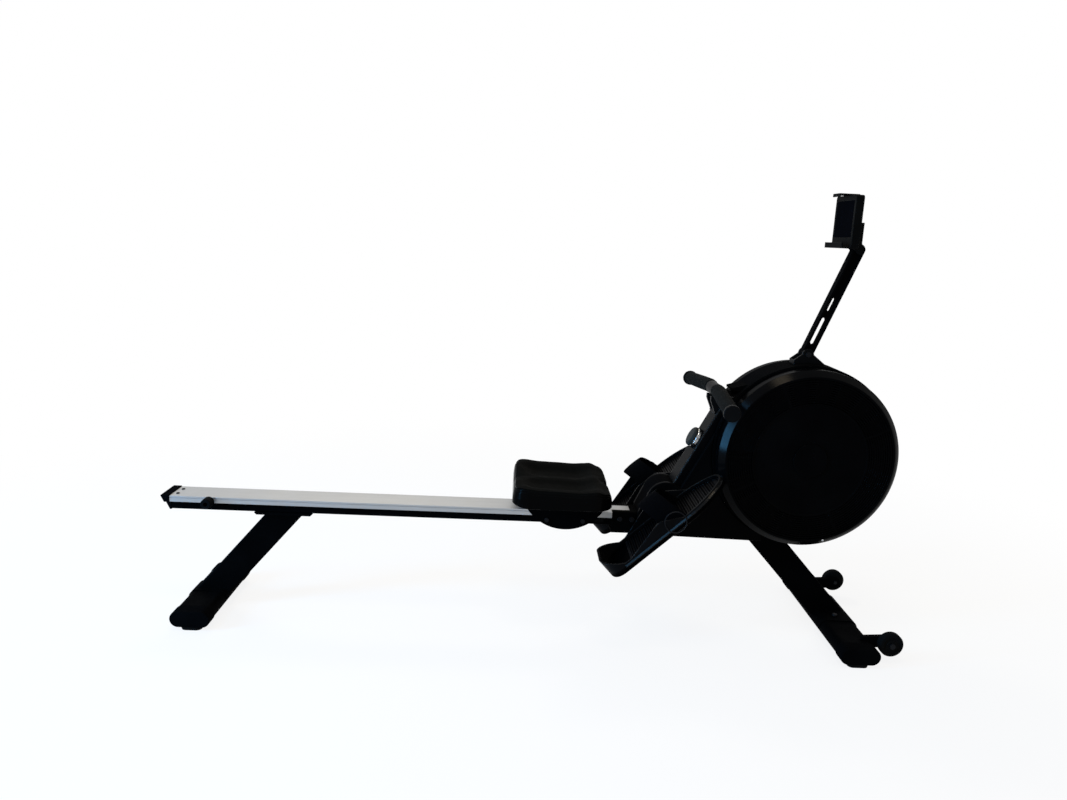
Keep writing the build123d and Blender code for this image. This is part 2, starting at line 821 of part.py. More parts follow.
with BuildPart() as side_cover_right:
    with BuildSketch(Plane.XZ.offset(side_cover_inner)) as cover_face:
        with BuildLine():
            body_outline()
        make_face()
    extrude(amount=side_cover_outer - side_cover_inner)
    fillet(side_cover_right.faces().sort_by(Axis.Y)[0].edges(), side_cover_round)
    with BuildSketch(Plane.XZ.offset(side_cover_inner)):
        with BuildLine():
            body_outline()
        make_face()
        offset(amount=-side_cover_wall, mode=Mode.REPLACE)
    extrude(amount=side_cover_outer - side_cover_inner - side_cover_wall, mode=Mode.SUBTRACT)
    cut_disc(pedal_axle_x, pedal_axle_z, pedal_axle_diameter / 2 + cheek_gap, side_cover_outer)
save(side_cover_right, "side_cover_right")

with BuildPart() as side_cover_left:
    mirror(side_cover_right.part, about=Plane.XZ)
save(side_cover_left, "side_cover_left")

with BuildPart() as foot_cowl:
    with BuildSketch(Plane.XZ):
        with BuildLine():
            Line((side_cover_rear_x, main_top_z), (side_cover_rear_x, cowl_foot_z))
            cowl_line()
            Polyline(
                spine_point(0),
                (spine_face_x, main_top_z),
                (side_cover_rear_x, main_top_z),
            )
        make_face()
        with BuildLine():
            Line((side_cover_rear_x + cowl_wall, main_top_z), (side_cover_rear_x + cowl_wall, cowl_foot_z))
            Line(
                (side_cover_rear_x + cowl_wall, cowl_foot_z),
                (cowl_shoulder_x + cowl_wall, cowl_shoulder_z - cowl_wall),
            )
            Polyline(
                (cowl_shoulder_x + cowl_wall, cowl_shoulder_z - cowl_wall),
                (spine_face_x - spine_wall, spine_face_z - 2 * cowl_wall),
                (spine_face_x + spine_span, main_top_z),
                (side_cover_rear_x + cowl_wall, main_top_z),
            )
        make_face(mode=Mode.SUBTRACT)
    extrude(amount=side_cover_inner - cowl_gap, both=True)
    with BuildSketch(Plane.XZ):
        with BuildLine():
            low = spine_point(spine_along(main_top_z), cowl_gap)
            high = spine_point(spine_along(spine_top_z), cowl_gap)
            Polyline(low, high, (high[0] + spine_width, high[1]), (low[0] + spine_width, low[1]), close=True)
        make_face()
    extrude(amount=side_cover_inner, both=True, mode=Mode.SUBTRACT)
save(foot_cowl, "foot_cowl")

# Fan housing
pull_lean = radians(pull_rise)
pull_dir = Vector(-cos(pull_lean), 0, sin(pull_lean))
strap_end_x = handle_x + strap_reach * cos(pull_lean)
strap_end_z = handle_z - strap_reach * sin(pull_lean)
guide_drop = strap_thickness / 2 + guide_gap + guide_roller_radius
guide_x = strap_end_x - guide_drop * sin(pull_lean)
guide_z = strap_end_z - guide_drop * cos(pull_lean)
guide_angle = atan2(guide_z - fan_z, guide_x - fan_x)
guide_seat = Plane(
    (guide_x, 0, guide_z), x_dir=(cos(guide_angle), 0, sin(guide_angle)), z_dir=(0, -1, 0)
)
guide_reach = shroud_inner - hypot(guide_x - fan_x, guide_z - fan_z)
exit_x = fan_x - sqrt(shroud_radius**2 - (strap_end_z - fan_z) ** 2)
exit_z = handle_z - (exit_x - handle_x) * tan(pull_lean)


def shroud_point(angle, radius):
    """X and Z of a point round the fan's axis, at an angle in degrees from the front."""
    return fan_x + radius * cos(radians(angle)), fan_z + radius * sin(radians(angle))


with BuildPart() as shroud:
    with BuildSketch(Plane.XZ):
        with Locations((fan_x, fan_z)):
            Circle(shroud_radius)
            Circle(shroud_inner, mode=Mode.SUBTRACT)
    extrude(amount=shroud_half_width, both=True)
    gap_low_z = fan_z - 2 * shroud_radius
    gap_height = main_top_z - gap_low_z
    gap_step_x = side_cover_front_x + side_cover_gap
    gap_half_width = main_half_width + axle_plate_thickness + side_cover_gap
    for gap_start_x, gap_end_x, gap_half in (
        (shroud_gap_rear_x, gap_step_x, 2 * shroud_half_width),
        (gap_step_x, shroud_gap_front_x, gap_half_width),
    ):
        with Locations(((gap_start_x + gap_end_x) / 2, 0, gap_low_z + gap_height / 2)):
            Box(gap_end_x - gap_start_x, 2 * gap_half, gap_height, mode=Mode.SUBTRACT)
    with BuildSketch(Plane.XZ):
        Polygon(
            (hood_tip_x, hood_tip_z),
            shroud_point(hood_angles[0], shroud_radius),
            shroud_point(hood_angles[0], shroud_radius - shroud_wall / 2),
            shroud_point(hood_angles[1], shroud_radius - shroud_wall / 2),
            (hood_tip_x, hood_tip_z - hood_thickness),
            align=None,
        )
    extrude(amount=hood_width / 2, both=True)
    for side in (-1, 1):
        cheek_y = guide_roller_width / 2 + guide_gap
        cheek_plane = guide_seat.offset(cheek_y) if side > 0 else guide_seat.offset(-cheek_y - guide_cheek)
        with BuildSketch(cheek_plane):
            Circle(2 * guide_pin_radius)
            with Locations((guide_reach / 2 + shroud_wall / 2, 0)):
                Rectangle(guide_reach + shroud_wall, 4 * guide_pin_radius)
            Circle(guide_pin_radius + running_clearance, mode=Mode.SUBTRACT)
        extrude(amount=guide_cheek)
    with Locations((exit_x, 0, exit_z)):
        Box(8 * shroud_wall, strap_exit_width, strap_exit_height, mode=Mode.SUBTRACT)
save(shroud, "shroud")

cover_plane = Plane((fan_x, 0, fan_z), x_dir=(1, 0, 0), z_dir=(0, 0, 1))
with BuildPart() as fan_cover_left:
    neck_end = shroud_half_width + cover_flange + cover_neck_length
    rim_start = cover_half_width - cover_rim_round
    inner_round = cover_rim_round - cover_wall
    neck_inner = cover_neck_radius - cover_wall
    inner_face = cover_half_width - cover_wall
    with BuildSketch(cover_plane):
        with BuildLine():
            Polyline(
                (0, inner_face - cover_step),
                (0, cover_half_width - cover_step),
                (cover_step_radius, cover_half_width - cover_step),
                (cover_step_radius + cover_step, cover_half_width),
                (cover_radius - cover_rim_round, cover_half_width),
            )
            RadiusArc(
                (cover_radius - cover_rim_round, cover_half_width), (cover_radius, rim_start), cover_rim_round
            )
            Polyline(
                (cover_radius, rim_start),
                (cover_radius, neck_end),
                (cover_neck_radius, neck_end),
                (cover_neck_radius, shroud_half_width + cover_flange),
                (cover_flange_radius, shroud_half_width + cover_flange),
                (cover_flange_radius, shroud_half_width),
                (neck_inner, shroud_half_width),
                (neck_inner, neck_end + cover_wall),
                (cover_radius - cover_wall, neck_end + cover_wall),
                (cover_radius - cover_wall, rim_start),
            )
            RadiusArc(
                (cover_radius - cover_wall, rim_start), (cover_radius - cover_rim_round, inner_face), -inner_round
            )
            Polyline(
                (cover_radius - cover_rim_round, inner_face),
                (cover_step_radius + cover_step, inner_face),
                (cover_step_radius, inner_face - cover_step),
                (0, inner_face - cover_step),
            )
        make_face()
    revolve(axis=fan_axis)
    with BuildSketch(Plane.XZ.offset(-cover_half_width)):
        with Locations((fan_x, fan_z)):
            for ring in reversed(range(grille_rings)):
                slot_inner = grille_inner_radius + ring * grille_pitch
                Circle(slot_inner + grille_slot)
                Circle(slot_inner, mode=Mode.SUBTRACT)
            with PolarLocations((grille_inner_radius + grille_outer_radius) / 2, grille_spokes, grille_spoke_turn):
                Rectangle(2 * grille_rings * grille_pitch, grille_spoke_width, mode=Mode.SUBTRACT)
    extrude(amount=2 * cover_wall, both=True, mode=Mode.SUBTRACT)
save(fan_cover_left, "fan_cover_left")

with BuildPart() as fan_cover_right:
    mirror(fan_cover_left.part, about=Plane.XZ)
save(fan_cover_right, "fan_cover_right")

with BuildPart() as hub_caps:
    with BuildSketch(Plane.XZ.offset(cover_half_width - cover_step)):
        with Locations((fan_x, fan_z)):
            Circle(hub_cap_radius)
    extrude(amount=hub_cap_height)
    fillet(hub_caps.faces().sort_by(Axis.Y)[0].edges(), hub_cap_round)
    mirror(about=Plane.XZ)
save(hub_caps, "hub_caps")

# Fan drive
with BuildPart() as axle_plates:
    with BuildSketch(Plane.XZ.offset(main_half_width)):
        plate_low_z = main_bottom_z + axle_plate_foot_drop
        Polygon(
            (axle_plate_foot_x[0], plate_low_z),
            (axle_plate_foot_x[1], plate_low_z),
            (fan_x + axle_plate_head, fan_z),
            (fan_x - axle_plate_head, fan_z),
            align=None,
        )
        with Locations((fan_x, fan_z)):
            Circle(axle_plate_head)
            Circle(bearing_diameter / 2 + seat_clearance, mode=Mode.SUBTRACT)
    extrude(amount=axle_plate_thickness)
    mirror(about=Plane.XZ)
save(axle_plates, "axle_plates")

bearing_inner = main_half_width + axle_plate_thickness / 2 - bearing_width / 2
with BuildPart() as fan_bearings:
    with BuildSketch(Plane.XZ.offset(bearing_inner)):
        with Locations((fan_x, fan_z)):
            Circle(bearing_diameter / 2)
            Circle(axle_diameter / 2 + running_clearance, mode=Mode.SUBTRACT)
    extrude(amount=bearing_width)
    mirror(about=Plane.XZ)
save(fan_bearings, "fan_bearings")

with BuildPart() as fan_axle:
    with BuildSketch(Plane.XZ):
        with Locations((fan_x, fan_z)):
            Circle(axle_diameter / 2)
    extrude(amount=axle_length / 2, both=True)
    chamfer(fan_axle.edges(), 1)
save(fan_axle, "fan_axle")

with BuildPart() as fan_wheel_right:
    with BuildSketch(Plane.XZ.offset(fan_disc_inner)):
        with Locations((fan_x, fan_z)):
            Circle(fan_radius)
    extrude(amount=fan_disc)
    with BuildSketch(Plane.XZ.offset(fan_hub_inner)):
        with Locations((fan_x, fan_z)):
            Circle(fan_hub_radius)
    extrude(amount=fan_hub_outer - fan_hub_inner)
    with BuildSketch(Plane.XZ.offset(fan_disc_inner)):
        with Locations((fan_x, fan_z)):
            with PolarLocations((fan_radius + fan_blade_inner) / 2, fan_blades):
                Rectangle(fan_radius - fan_blade_inner, fan_blade_thickness)
    extrude(amount=fan_disc + fan_blade_height)
    cut_disc(fan_x, fan_z, axle_diameter / 2 + seat_clearance, axle_length)
save(fan_wheel_right, "fan_wheel_right")

with BuildPart() as fan_wheel_left:
    mirror(fan_wheel_right.part, about=Plane.XZ)
save(fan_wheel_left, "fan_wheel_left")

with BuildPart() as strap_drum:
    with BuildSketch(cover_plane):
        with BuildLine():
            Polyline(
                (axle_diameter / 2 + running_clearance, -drum_hub_half),
                (drum_hub_radius, -drum_hub_half),
                (drum_hub_radius, -drum_half_width - drum_flange),
                (drum_flange_radius, -drum_half_width - drum_flange),
                (drum_flange_radius, -drum_half_width),
                (drum_radius, -drum_half_width),
                (drum_radius, drum_half_width),
                (drum_flange_radius, drum_half_width),
                (drum_flange_radius, drum_half_width + drum_flange),
                (drum_hub_radius, drum_half_width + drum_flange),
                (drum_hub_radius, drum_hub_half),
                (axle_diameter / 2 + running_clearance, drum_hub_half),
                close=True,
            )
        make_face()
    revolve(axis=fan_axis)
save(strap_drum, "strap_drum")

with BuildPart() as rewind_spring:
    with BuildSketch(Plane.XZ.offset(-main_half_width)):
        with Locations((fan_x, fan_z)):
            Circle(spring_outer_radius)
            Circle(spring_inner_radius, mode=Mode.SUBTRACT)
    extrude(amount=main_half_width - spring_case_inner)
save(rewind_spring, "rewind_spring")

with BuildPart() as guide_roller:
    with BuildSketch(Plane.XZ):
        with Locations((guide_x, guide_z)):
            Circle(guide_roller_radius)
    extrude(amount=guide_roller_width / 2, both=True)
    with BuildSketch(Plane.XZ):
        with Locations((guide_x, guide_z)):
            Circle(guide_pin_radius)
    extrude(amount=guide_roller_width / 2 + 2 * guide_cheek, both=True)
save(guide_roller, "guide_roller")


# Handle
def handle_line(start_y, end_y):
    """Draws the handle's axis on the right side, from near the middle to near its end."""
    slope = (handle_half_length - handle_bend_y)
    reach = (end_y - handle_bend_y) / slope
    Polyline(
        (handle_x, -start_y, handle_z),
        (handle_x, -handle_bend_y, handle_z),
        (handle_x - handle_end_back * reach, -end_y, handle_z - handle_end_drop * reach),
    )


def handle_sleeve(start_y, end_y, diameter, bore):
    """Round tube along the handle's axis on the right side."""
    with BuildLine() as axis_line:
        handle_line(start_y, end_y)
        fillet(axis_line.vertices().sort_by(Axis.Y)[1], handle_bend_radius)
    with BuildPart() as sleeve:
        with BuildSketch(Plane.XZ.offset(start_y)):
            with Locations((handle_x, handle_z)):
                Circle(diameter / 2)
                Circle(bore / 2, mode=Mode.SUBTRACT)
        sweep(path=axis_line.wires()[0])
    return sleeve.part


grip_end_y = handle_half_length - handle_cap_length
bar_bore = handle_bar_diameter - 2 * handle_bar_wall
half_bar = handle_sleeve(0, grip_end_y, handle_bar_diameter, bar_bore)
with BuildPart() as handle_bar:
    add(half_bar)
    mirror(half_bar, about=Plane.XZ)
save(handle_bar, "handle_bar")

half_grip = handle_sleeve(
    grip_start_y, grip_end_y, grip_diameter, handle_bar_diameter + 2 * grip_clearance
)
with BuildPart() as handle_grips:
    add(half_grip)
    mirror(half_grip, about=Plane.XZ)
save(handle_grips, "handle_grips")

end_slope = 1 / (handle_half_length - handle_bend_y)
cap_seat = Plane(
    (
        handle_x - handle_end_back * (grip_end_y - handle_bend_y) * end_slope,
        -grip_end_y,
        handle_z - handle_end_drop * (grip_end_y - handle_bend_y) * end_slope,
    ),
    x_dir=(1, -handle_end_back * end_slope, 0),
    z_dir=(-handle_end_back * end_slope, -1, -handle_end_drop * end_slope),
)
with BuildPart() as handle_caps:
    with BuildSketch(cap_seat):
        Circle(handle_cap_diameter / 2)
    extrude(amount=handle_cap_length)
    fillet(handle_caps.faces().sort_by(Axis.Y)[0].edges(), handle_cap_round)
    mirror(about=Plane.XZ)
save(handle_caps, "handle_caps")

strap_line = Plane(
    (handle_x, 0, handle_z), x_dir=(cos(pull_lean), 0, -sin(pull_lean)), z_dir=(0, -1, 0)
)
with BuildPart() as handle_collar:
    with BuildSketch(Plane.XZ):
        with Locations((handle_x, handle_z)):
            Circle(collar_diameter / 2)
    extrude(amount=collar_half_length, both=True)
    fillet(handle_collar.edges(), handle_bar_wall)
    with BuildSketch(strap_line):
        with Locations((strap_boss_reach / 2, 0)):
            Rectangle(strap_boss_reach, strap_boss_height)
    extrude(amount=strap_width / 2 + handle_bar_wall, both=True)
    cut_disc(handle_x, handle_z, handle_bar_diameter / 2 + grip_clearance, handle_half_length)
save(handle_collar, "handle_collar")

with BuildPart() as pull_strap:
    with BuildSketch(strap_line):
        with Locations(((strap_boss_reach + strap_reach) / 2, 0)):
            Rectangle(strap_reach - strap_boss_reach, strap_thickness)
    extrude(amount=strap_width / 2, both=True)
save(pull_strap, "pull_strap")

rest_radius = collar_diameter / 2 + rest_clearance
with BuildPart() as handle_rest:
    rest_top = spine_along(spine_top_z)
    under_x = handle_x - rest_radius * sin(pull_lean)
    under_z = handle_z - rest_radius * cos(pull_lean)
    shelf_x = under_x - rest_shelf * cos(pull_lean)
    shelf_z = under_z + rest_shelf * sin(pull_lean)
    back_x = handle_x + rest_radius
    low_x, low_z = spine_point(rest_top - rest_drop)
    top_x, top_z = spine_point(rest_top)
    with BuildSketch(Plane.XZ.offset(rest_inner_y)):
        with BuildLine():
            Line((shelf_x, shelf_z), (under_x, under_z))
            ThreePointArc(
                (under_x, under_z),
                (handle_x + rest_radius * cos(radians(-45)), handle_z + rest_radius * sin(radians(-45))),
                (back_x, handle_z),
            )
            Polyline(
                (back_x, handle_z),
                (top_x, handle_z - rest_plate),
                (top_x, top_z),
                (low_x, low_z),
                (shelf_x, shelf_z - rest_shelf),
                (shelf_x, shelf_z),
            )
        make_face()
    extrude(amount=rest_rib)
    mirror(about=Plane.XZ)
    with BuildSketch(Plane.XZ):
        with BuildLine():
            Polyline(
                spine_point(rest_top - rest_drop),
                spine_point(rest_top - rest_drop / 4),
                spine_point(rest_top - rest_drop / 4, rest_plate),
                spine_point(rest_top - rest_drop, rest_plate),
                close=True,
            )
        make_face()
    extrude(amount=rest_inner_y + rest_rib, both=True)
save(handle_rest, "handle_rest")

# Knob
with BuildPart() as knob:
    with BuildSketch(knob_seat.offset(knob_ring_height)):
        Circle(knob_diameter / 2)
    extrude(amount=knob_height - knob_ring_height)
    fillet(knob.faces().sort_by(Axis.X)[0].edges(), knob_round)
    with BuildSketch(knob_seat.offset(knob_gap)):
        Circle(knob_base_diameter / 2)
    extrude(amount=knob_ring_low - knob_gap)
    with BuildSketch(knob_seat.offset(-knob_shaft_length)):
        Circle(knob_shaft_diameter / 2)
    extrude(amount=knob_shaft_length + knob_ring_height)
save(knob, "knob")

with BuildPart() as knob_ring:
    with BuildSketch(knob_seat.offset(knob_ring_low)):
        Circle(knob_ring_diameter / 2)
        Circle(knob_shaft_diameter / 2 + running_clearance, mode=Mode.SUBTRACT)
    extrude(amount=knob_ring_height - knob_ring_low)
    ring_edges = knob_ring.edges().filter_by(GeomType.CIRCLE).sort_by(SortBy.RADIUS)[-2:]
    chamfer(ring_edges, 1)
save(knob_ring, "knob_ring")

# Mast
mast_plane = Plane(
    (mast_pivot_x, 0, mast_pivot_z), x_dir=(cos(mast_lean), 0, sin(mast_lean)), z_dir=(0, -1, 0)
)
cheek_inner = mast_half_thickness + cheek_gap
with BuildPart() as mast_bracket:
    with BuildSketch(Plane.XZ.offset(cheek_inner)):
        Polygon(
            (bracket_rear_x, fan_z + shroud_inner),
            (bracket_front_x, fan_z + shroud_inner),
            (bracket_front_x, shroud_top_z),
            (mast_pivot_x + bracket_head_radius, mast_pivot_z),
            (mast_pivot_x - bracket_head_radius, mast_pivot_z),
            (bracket_rear_x, bracket_base_z),
            align=None,
        )
        with Locations((mast_pivot_x, mast_pivot_z)):
            Circle(bracket_head_radius)
    extrude(amount=cheek_thickness)
    mirror(about=Plane.XZ)
    with BuildSketch(Plane.XZ):
        Polygon(
            (bracket_rear_x, fan_z + shroud_inner),
            (bracket_front_x, fan_z + shroud_inner),
            (bracket_front_x, shroud_top_z),
            (mast_pivot_x, bracket_base_z),
            (bracket_rear_x, bracket_base_z),
            align=None,
        )
    extrude(amount=cheek_inner + cheek_thickness, both=True)
    cut_disc(fan_x, fan_z, shroud_radius + saddle_clearance, shroud_half_width)
    cut_disc(mast_pivot_x, mast_pivot_z, pivot_bolt_diameter / 2 + seat_clearance, shroud_half_width)
save(mast_bracket, "mast_bracket")

with BuildPart() as mast_arm:
    with BuildSketch(mast_plane):
        with Locations((mast_length / 2, 0)):
            SlotCenterToCenter(mast_length, mast_width)
        with Locations((mast_slot_start + mast_slot_length / 2, 0)):
            SlotOverall(mast_slot_length, mast_slot_width, mode=Mode.SUBTRACT)
        with Locations((mast_slit_start + mast_slit_length / 2, 0)):
            SlotOverall(mast_slit_length, mast_slit_width, mode=Mode.SUBTRACT)
        with Locations((0, 0), (mast_length, 0)):
            Circle(pivot_bolt_diameter / 2 + running_clearance, mode=Mode.SUBTRACT)
    extrude(amount=mast_half_thickness, both=True)
    with BuildSketch(mast_plane.offset(mast_half_thickness), mast_plane.offset(mast_groove - mast_half_thickness)):
        with Locations((mast_length / 2, 0)):
            SlotOverall(mast_length, mast_groove_width)
    extrude(amount=-mast_groove, mode=Mode.SUBTRACT)
save(mast_arm, "mast_arm")

# Console
screen_z = console_bottom_z + screen_from_bottom + screen_height / 2
with BuildPart() as console_shell:
    with BuildSketch(Plane.YZ.offset(console_front_x)):
        with Locations((0, console_bottom_z + console_height / 2)):
            RectangleRounded(console_width, console_height, console_corner)
    extrude(amount=console_depth)
    fillet(console_shell.faces().sort_by(Axis.X)[-1].edges(), console_edge)
    with BuildSketch(Plane.YZ.offset(console_front_x)):
        with Locations((0, screen_z)):
            Rectangle(screen_width, screen_height)
    extrude(amount=screen_recess, mode=Mode.SUBTRACT)
    with BuildSketch(Plane.XZ):
        with BuildLine():
            Polyline(
                (console_front_x, console_bottom_z + ledge_thickness),
                (console_front_x - ledge_reach + ledge_thickness, console_bottom_z + ledge_thickness),
                (console_front_x - ledge_reach + ledge_thickness, console_bottom_z + ledge_thickness + ledge_lip),
                (console_front_x - ledge_reach, console_bottom_z + ledge_thickness + ledge_lip),
                (console_front_x - ledge_reach, console_bottom_z),
                (console_front_x, console_bottom_z),
                close=True,
            )
        make_face()
    extrude(amount=console_width / 2 - console_corner, both=True)
    guide_depth = clip_gap + clip_thickness + clip_gap + clip_guide_wall
    with Locations((console_back_x + guide_depth / 2, 0, clip_tongue_low_z + clip_guide_height)):
        Box(guide_depth, clip_width + 2 * clip_gap + 2 * clip_guide_wall, clip_guide_height)
        with Locations((-clip_guide_wall / 2, 0, 0)):
            Box(
                guide_depth - clip_guide_wall,
                clip_width + 2 * clip_gap,
                clip_guide_height,
                mode=Mode.SUBTRACT,
            )
save(console_shell, "console_shell")

with BuildPart() as console_screen:
    with Locations((console_front_x + screen_recess - screen_thickness / 2, 0, screen_z)):
        Box(screen_thickness, screen_width - 2 * screen_fit, screen_height - 2 * screen_fit)
save(console_screen, "console_screen")

with BuildPart() as console_bracket:
    with Locations(
        (console_back_x + bracket_block / 2, 0, console_bottom_z + (bracket_block_low + bracket_block_high) / 2)
    ):
        Box(bracket_block, bracket_block_width, bracket_block_high - bracket_block_low)
    with BuildSketch(Plane.XZ.offset(cheek_inner)):
        neck_low_z = console_bottom_z + bracket_block_low
        Polygon(
            (console_back_x, neck_low_z),
            (mast_top_x - lug_radius / 2, mast_top_z - lug_radius * 0.8),
            (mast_top_x + lug_radius / 4, mast_top_z + lug_radius * 0.9),
            (console_back_x + bracket_block, neck_low_z + lug_radius),
            (console_back_x, neck_low_z + lug_radius),
            align=None,
        )
        with Locations((mast_top_x, mast_top_z)):
            Circle(lug_radius)
    extrude(amount=cheek_thickness)
    mirror(about=Plane.XZ)
    cut_disc(mast_top_x, mast_top_z, mast_width / 2 + 1, cheek_inner)
    with BuildSketch(Plane.XZ):
        with Locations((mast_top_x, mast_top_z)):
            Circle(pivot_bolt_diameter / 2)
    extrude(amount=cheek_inner + cheek_thickness, both=True)
save(console_bracket, "console_bracket")

with BuildPart() as top_clip:
    clip_low = console_top_z + clip_gap
    tongue_x = console_back_x + clip_gap
    with BuildSketch(Plane.XZ):
        with BuildLine():
            Polyline(
                (console_front_x - clip_reach, clip_low + clip_thickness),
                (tongue_x + clip_thickness, clip_low + clip_thickness),
                (tongue_x + clip_thickness, clip_tongue_low_z),
                (tongue_x, clip_tongue_low_z),
                (tongue_x, clip_low),
                (console_front_x - clip_reach + clip_thickness, clip_low),
                (console_front_x - clip_reach + clip_thickness, clip_low + clip_thickness - clip_lip),
                (console_front_x - clip_reach, clip_low + clip_thickness - clip_lip),
                close=True,
            )
        make_face()
    extrude(amount=clip_width / 2, both=True)
save(top_clip, "top_clip")

# Bolts of the mast's pivot and of the wheels
with BuildPart() as pivot_bolts:
    with BuildSketch(Plane.XZ):
        with Locations((mast_pivot_x, mast_pivot_z)):
            Circle(pivot_bolt_diameter / 2)
    extrude(amount=cheek_inner + cheek_thickness, both=True)
    for side in (-1, 1):
        with BuildSketch(Plane.XZ.offset(side * (cheek_inner + cheek_thickness))):
            with Locations((mast_pivot_x, mast_pivot_z)):
                Circle(bolt_head / 2)
        extrude(amount=side * bolt_head_height)
    bracket_outer = wheel_y - wheel_width / 2 - wheel_gap
    for side in (-1, 1):
        with BuildSketch(Plane.XZ.offset(side * (bracket_outer - wheel_bracket_thickness))):
            with Locations((wheel_x, wheel_z)):
                Circle(wheel_bolt_diameter / 2)
        extrude(amount=side * (wheel_bracket_thickness + wheel_width + 2 * wheel_gap))
        with BuildSketch(Plane.XZ.offset(side * (wheel_y + wheel_width / 2 + wheel_gap))):
            with Locations((wheel_x, wheel_z)):
                Circle(bolt_head / 2)
        extrude(amount=side * bolt_head_height)
save(pivot_bolts, "pivot_bolts")

# Transport wheels
with BuildPart() as wheel_right:
    with BuildSketch(Plane.XZ.offset(wheel_y - wheel_width / 2)):
        with Locations((wheel_x, wheel_z)):
            Circle(wheel_diameter / 2)
            Circle(wheel_bolt_diameter / 2 + running_clearance, mode=Mode.SUBTRACT)
    extrude(amount=wheel_width)
    tread_edges = wheel_right.edges().filter_by(GeomType.CIRCLE).sort_by(SortBy.RADIUS)[-2:]
    fillet(tread_edges, wheel_round)
    with BuildSketch(Plane.XZ.offset(wheel_y + wheel_width / 2)):
        with Locations((wheel_x, wheel_z)):
            Circle(wheel_recess_outer)
            Circle(wheel_recess_inner, mode=Mode.SUBTRACT)
    extrude(amount=-wheel_recess, mode=Mode.SUBTRACT)
save(wheel_right, "wheel_right")

with BuildPart() as wheel_left:
    mirror(wheel_right.part, about=Plane.XZ)
save(wheel_left, "wheel_left")

with BuildPart() as wheel_brackets:
    with BuildSketch(Plane.XZ.offset(bracket_outer)):
        tip_z = bar_top_z + wheel_bracket_tip_rise
        Polygon(
            (wheel_bracket_tip_x, tip_z + wheel_bracket_tip),
            (wheel_bracket_tip_x, bar_axis_z),
            (wheel_x, wheel_z - wheel_bracket_head),
            (wheel_x, wheel_z + wheel_bracket_head),
            align=None,
        )
        with Locations((wheel_bracket_tip_x, tip_z)):
            Circle(wheel_bracket_tip)
        with Locations((wheel_x, wheel_z)):
            Circle(wheel_bracket_head)
            Circle(wheel_bolt_diameter / 2 + seat_clearance, mode=Mode.SUBTRACT)
        with Locations((front_bar_x, bar_axis_z)):
            SlotOverall(
                bar_width + 2 * saddle_clearance, bar_height + 2 * saddle_clearance, mode=Mode.SUBTRACT
            )
    extrude(amount=-wheel_bracket_thickness)
    mirror(about=Plane.XZ)
save(wheel_brackets, "wheel_brackets")

# Seat carriage
upper_axle_z = rail_top_z + roller_gap + upper_roller_diameter / 2
lower_axle_z = lip_bottom_z - roller_gap - lower_roller_diameter / 2
axle_rear_x = carriage_x - roller_spacing / 2
axle_front_x = carriage_x + roller_spacing / 2
upper_points = [(axle_rear_x, upper_axle_z), (axle_front_x, upper_axle_z)]
lower_points = [(axle_rear_x, lower_axle_z), (axle_front_x, lower_axle_z)]

with BuildPart() as carriage_sides:
    with BuildSketch(Plane.XZ.offset(skirt_inner)):
        with Locations((carriage_x, skirt_centre_z)):
            Circle(skirt_radius)
        with Locations((carriage_x, pan_bottom_z + skirt_radius)):
            Rectangle(4 * skirt_radius, 2 * skirt_radius, mode=Mode.SUBTRACT)
        with Locations(*upper_points):
            Circle(upper_axle_diameter / 2 + seat_clearance, mode=Mode.SUBTRACT)
        with Locations(*lower_points):
            Circle(lower_bolt_diameter / 2 + seat_clearance, mode=Mode.SUBTRACT)
    extrude(amount=skirt_plate)
    mirror(about=Plane.XZ)
save(carriage_sides, "carriage_sides")

with BuildPart() as roller_axles:
    with BuildSketch(Plane.XZ):
        with Locations(*upper_points):
            Circle(upper_axle_diameter / 2)
    extrude(amount=skirt_inner + skirt_plate, both=True)
    for side in (-1, 1):
        with BuildSketch(Plane.XZ.offset(side * (lower_roller_y - lower_roller_width / 2))):
            with Locations(*lower_points):
                Circle(lower_bolt_diameter / 2)
        extrude(amount=side * (skirt_inner + skirt_plate - lower_roller_y + lower_roller_width / 2))
        with BuildSketch(Plane.XZ.offset(side * (skirt_inner + skirt_plate))):
            with Locations(*lower_points):
                Circle(lower_bolt_head / 2)
        extrude(amount=side * lower_bolt_head_height)
save(roller_axles, "roller_axles")


def roller_pair(point, diameter, width, centre_y, bore):
    """Grooved rollers on both sides of the middle plane, on one axle."""
    with BuildPart() as pair:
        with BuildSketch(Plane.XZ.offset(centre_y - width / 2)):
            with Locations(point):
                Circle(diameter / 2)
                Circle(bore / 2 + running_clearance, mode=Mode.SUBTRACT)
        extrude(amount=width)
        rims = pair.edges().filter_by(GeomType.CIRCLE).sort_by(SortBy.RADIUS)[-2:]
        chamfer(rims, roller_groove)
        mirror(about=Plane.XZ)
    return pair


roller_sets = (
    ("upper_rollers_rear", upper_points[0], upper_roller_diameter, upper_roller_width, upper_roller_y, upper_axle_diameter),
    ("upper_rollers_front", upper_points[1], upper_roller_diameter, upper_roller_width, upper_roller_y, upper_axle_diameter),
    ("lower_rollers_rear", lower_points[0], lower_roller_diameter, lower_roller_width, lower_roller_y, lower_bolt_diameter),
    ("lower_rollers_front", lower_points[1], lower_roller_diameter, lower_roller_width, lower_roller_y, lower_bolt_diameter),
)
for roller_name, *roller_sizes in roller_sets:
    save(roller_pair(*roller_sizes), roller_name)

with BuildPart() as seat_pan:
    with BuildSketch(Plane.XY.offset(pan_bottom_z)):
        with Locations((pan_centre_x, 0)):
            RectangleRounded(pan_length, pan_width, pan_corner)
    extrude(amount=pan_thickness)
save(seat_pan, "seat_pan")

# Cushion: sections from rear to front, each with two dished channels beside a middle ridge
cushion_bottom_z = pan_bottom_z + pan_thickness


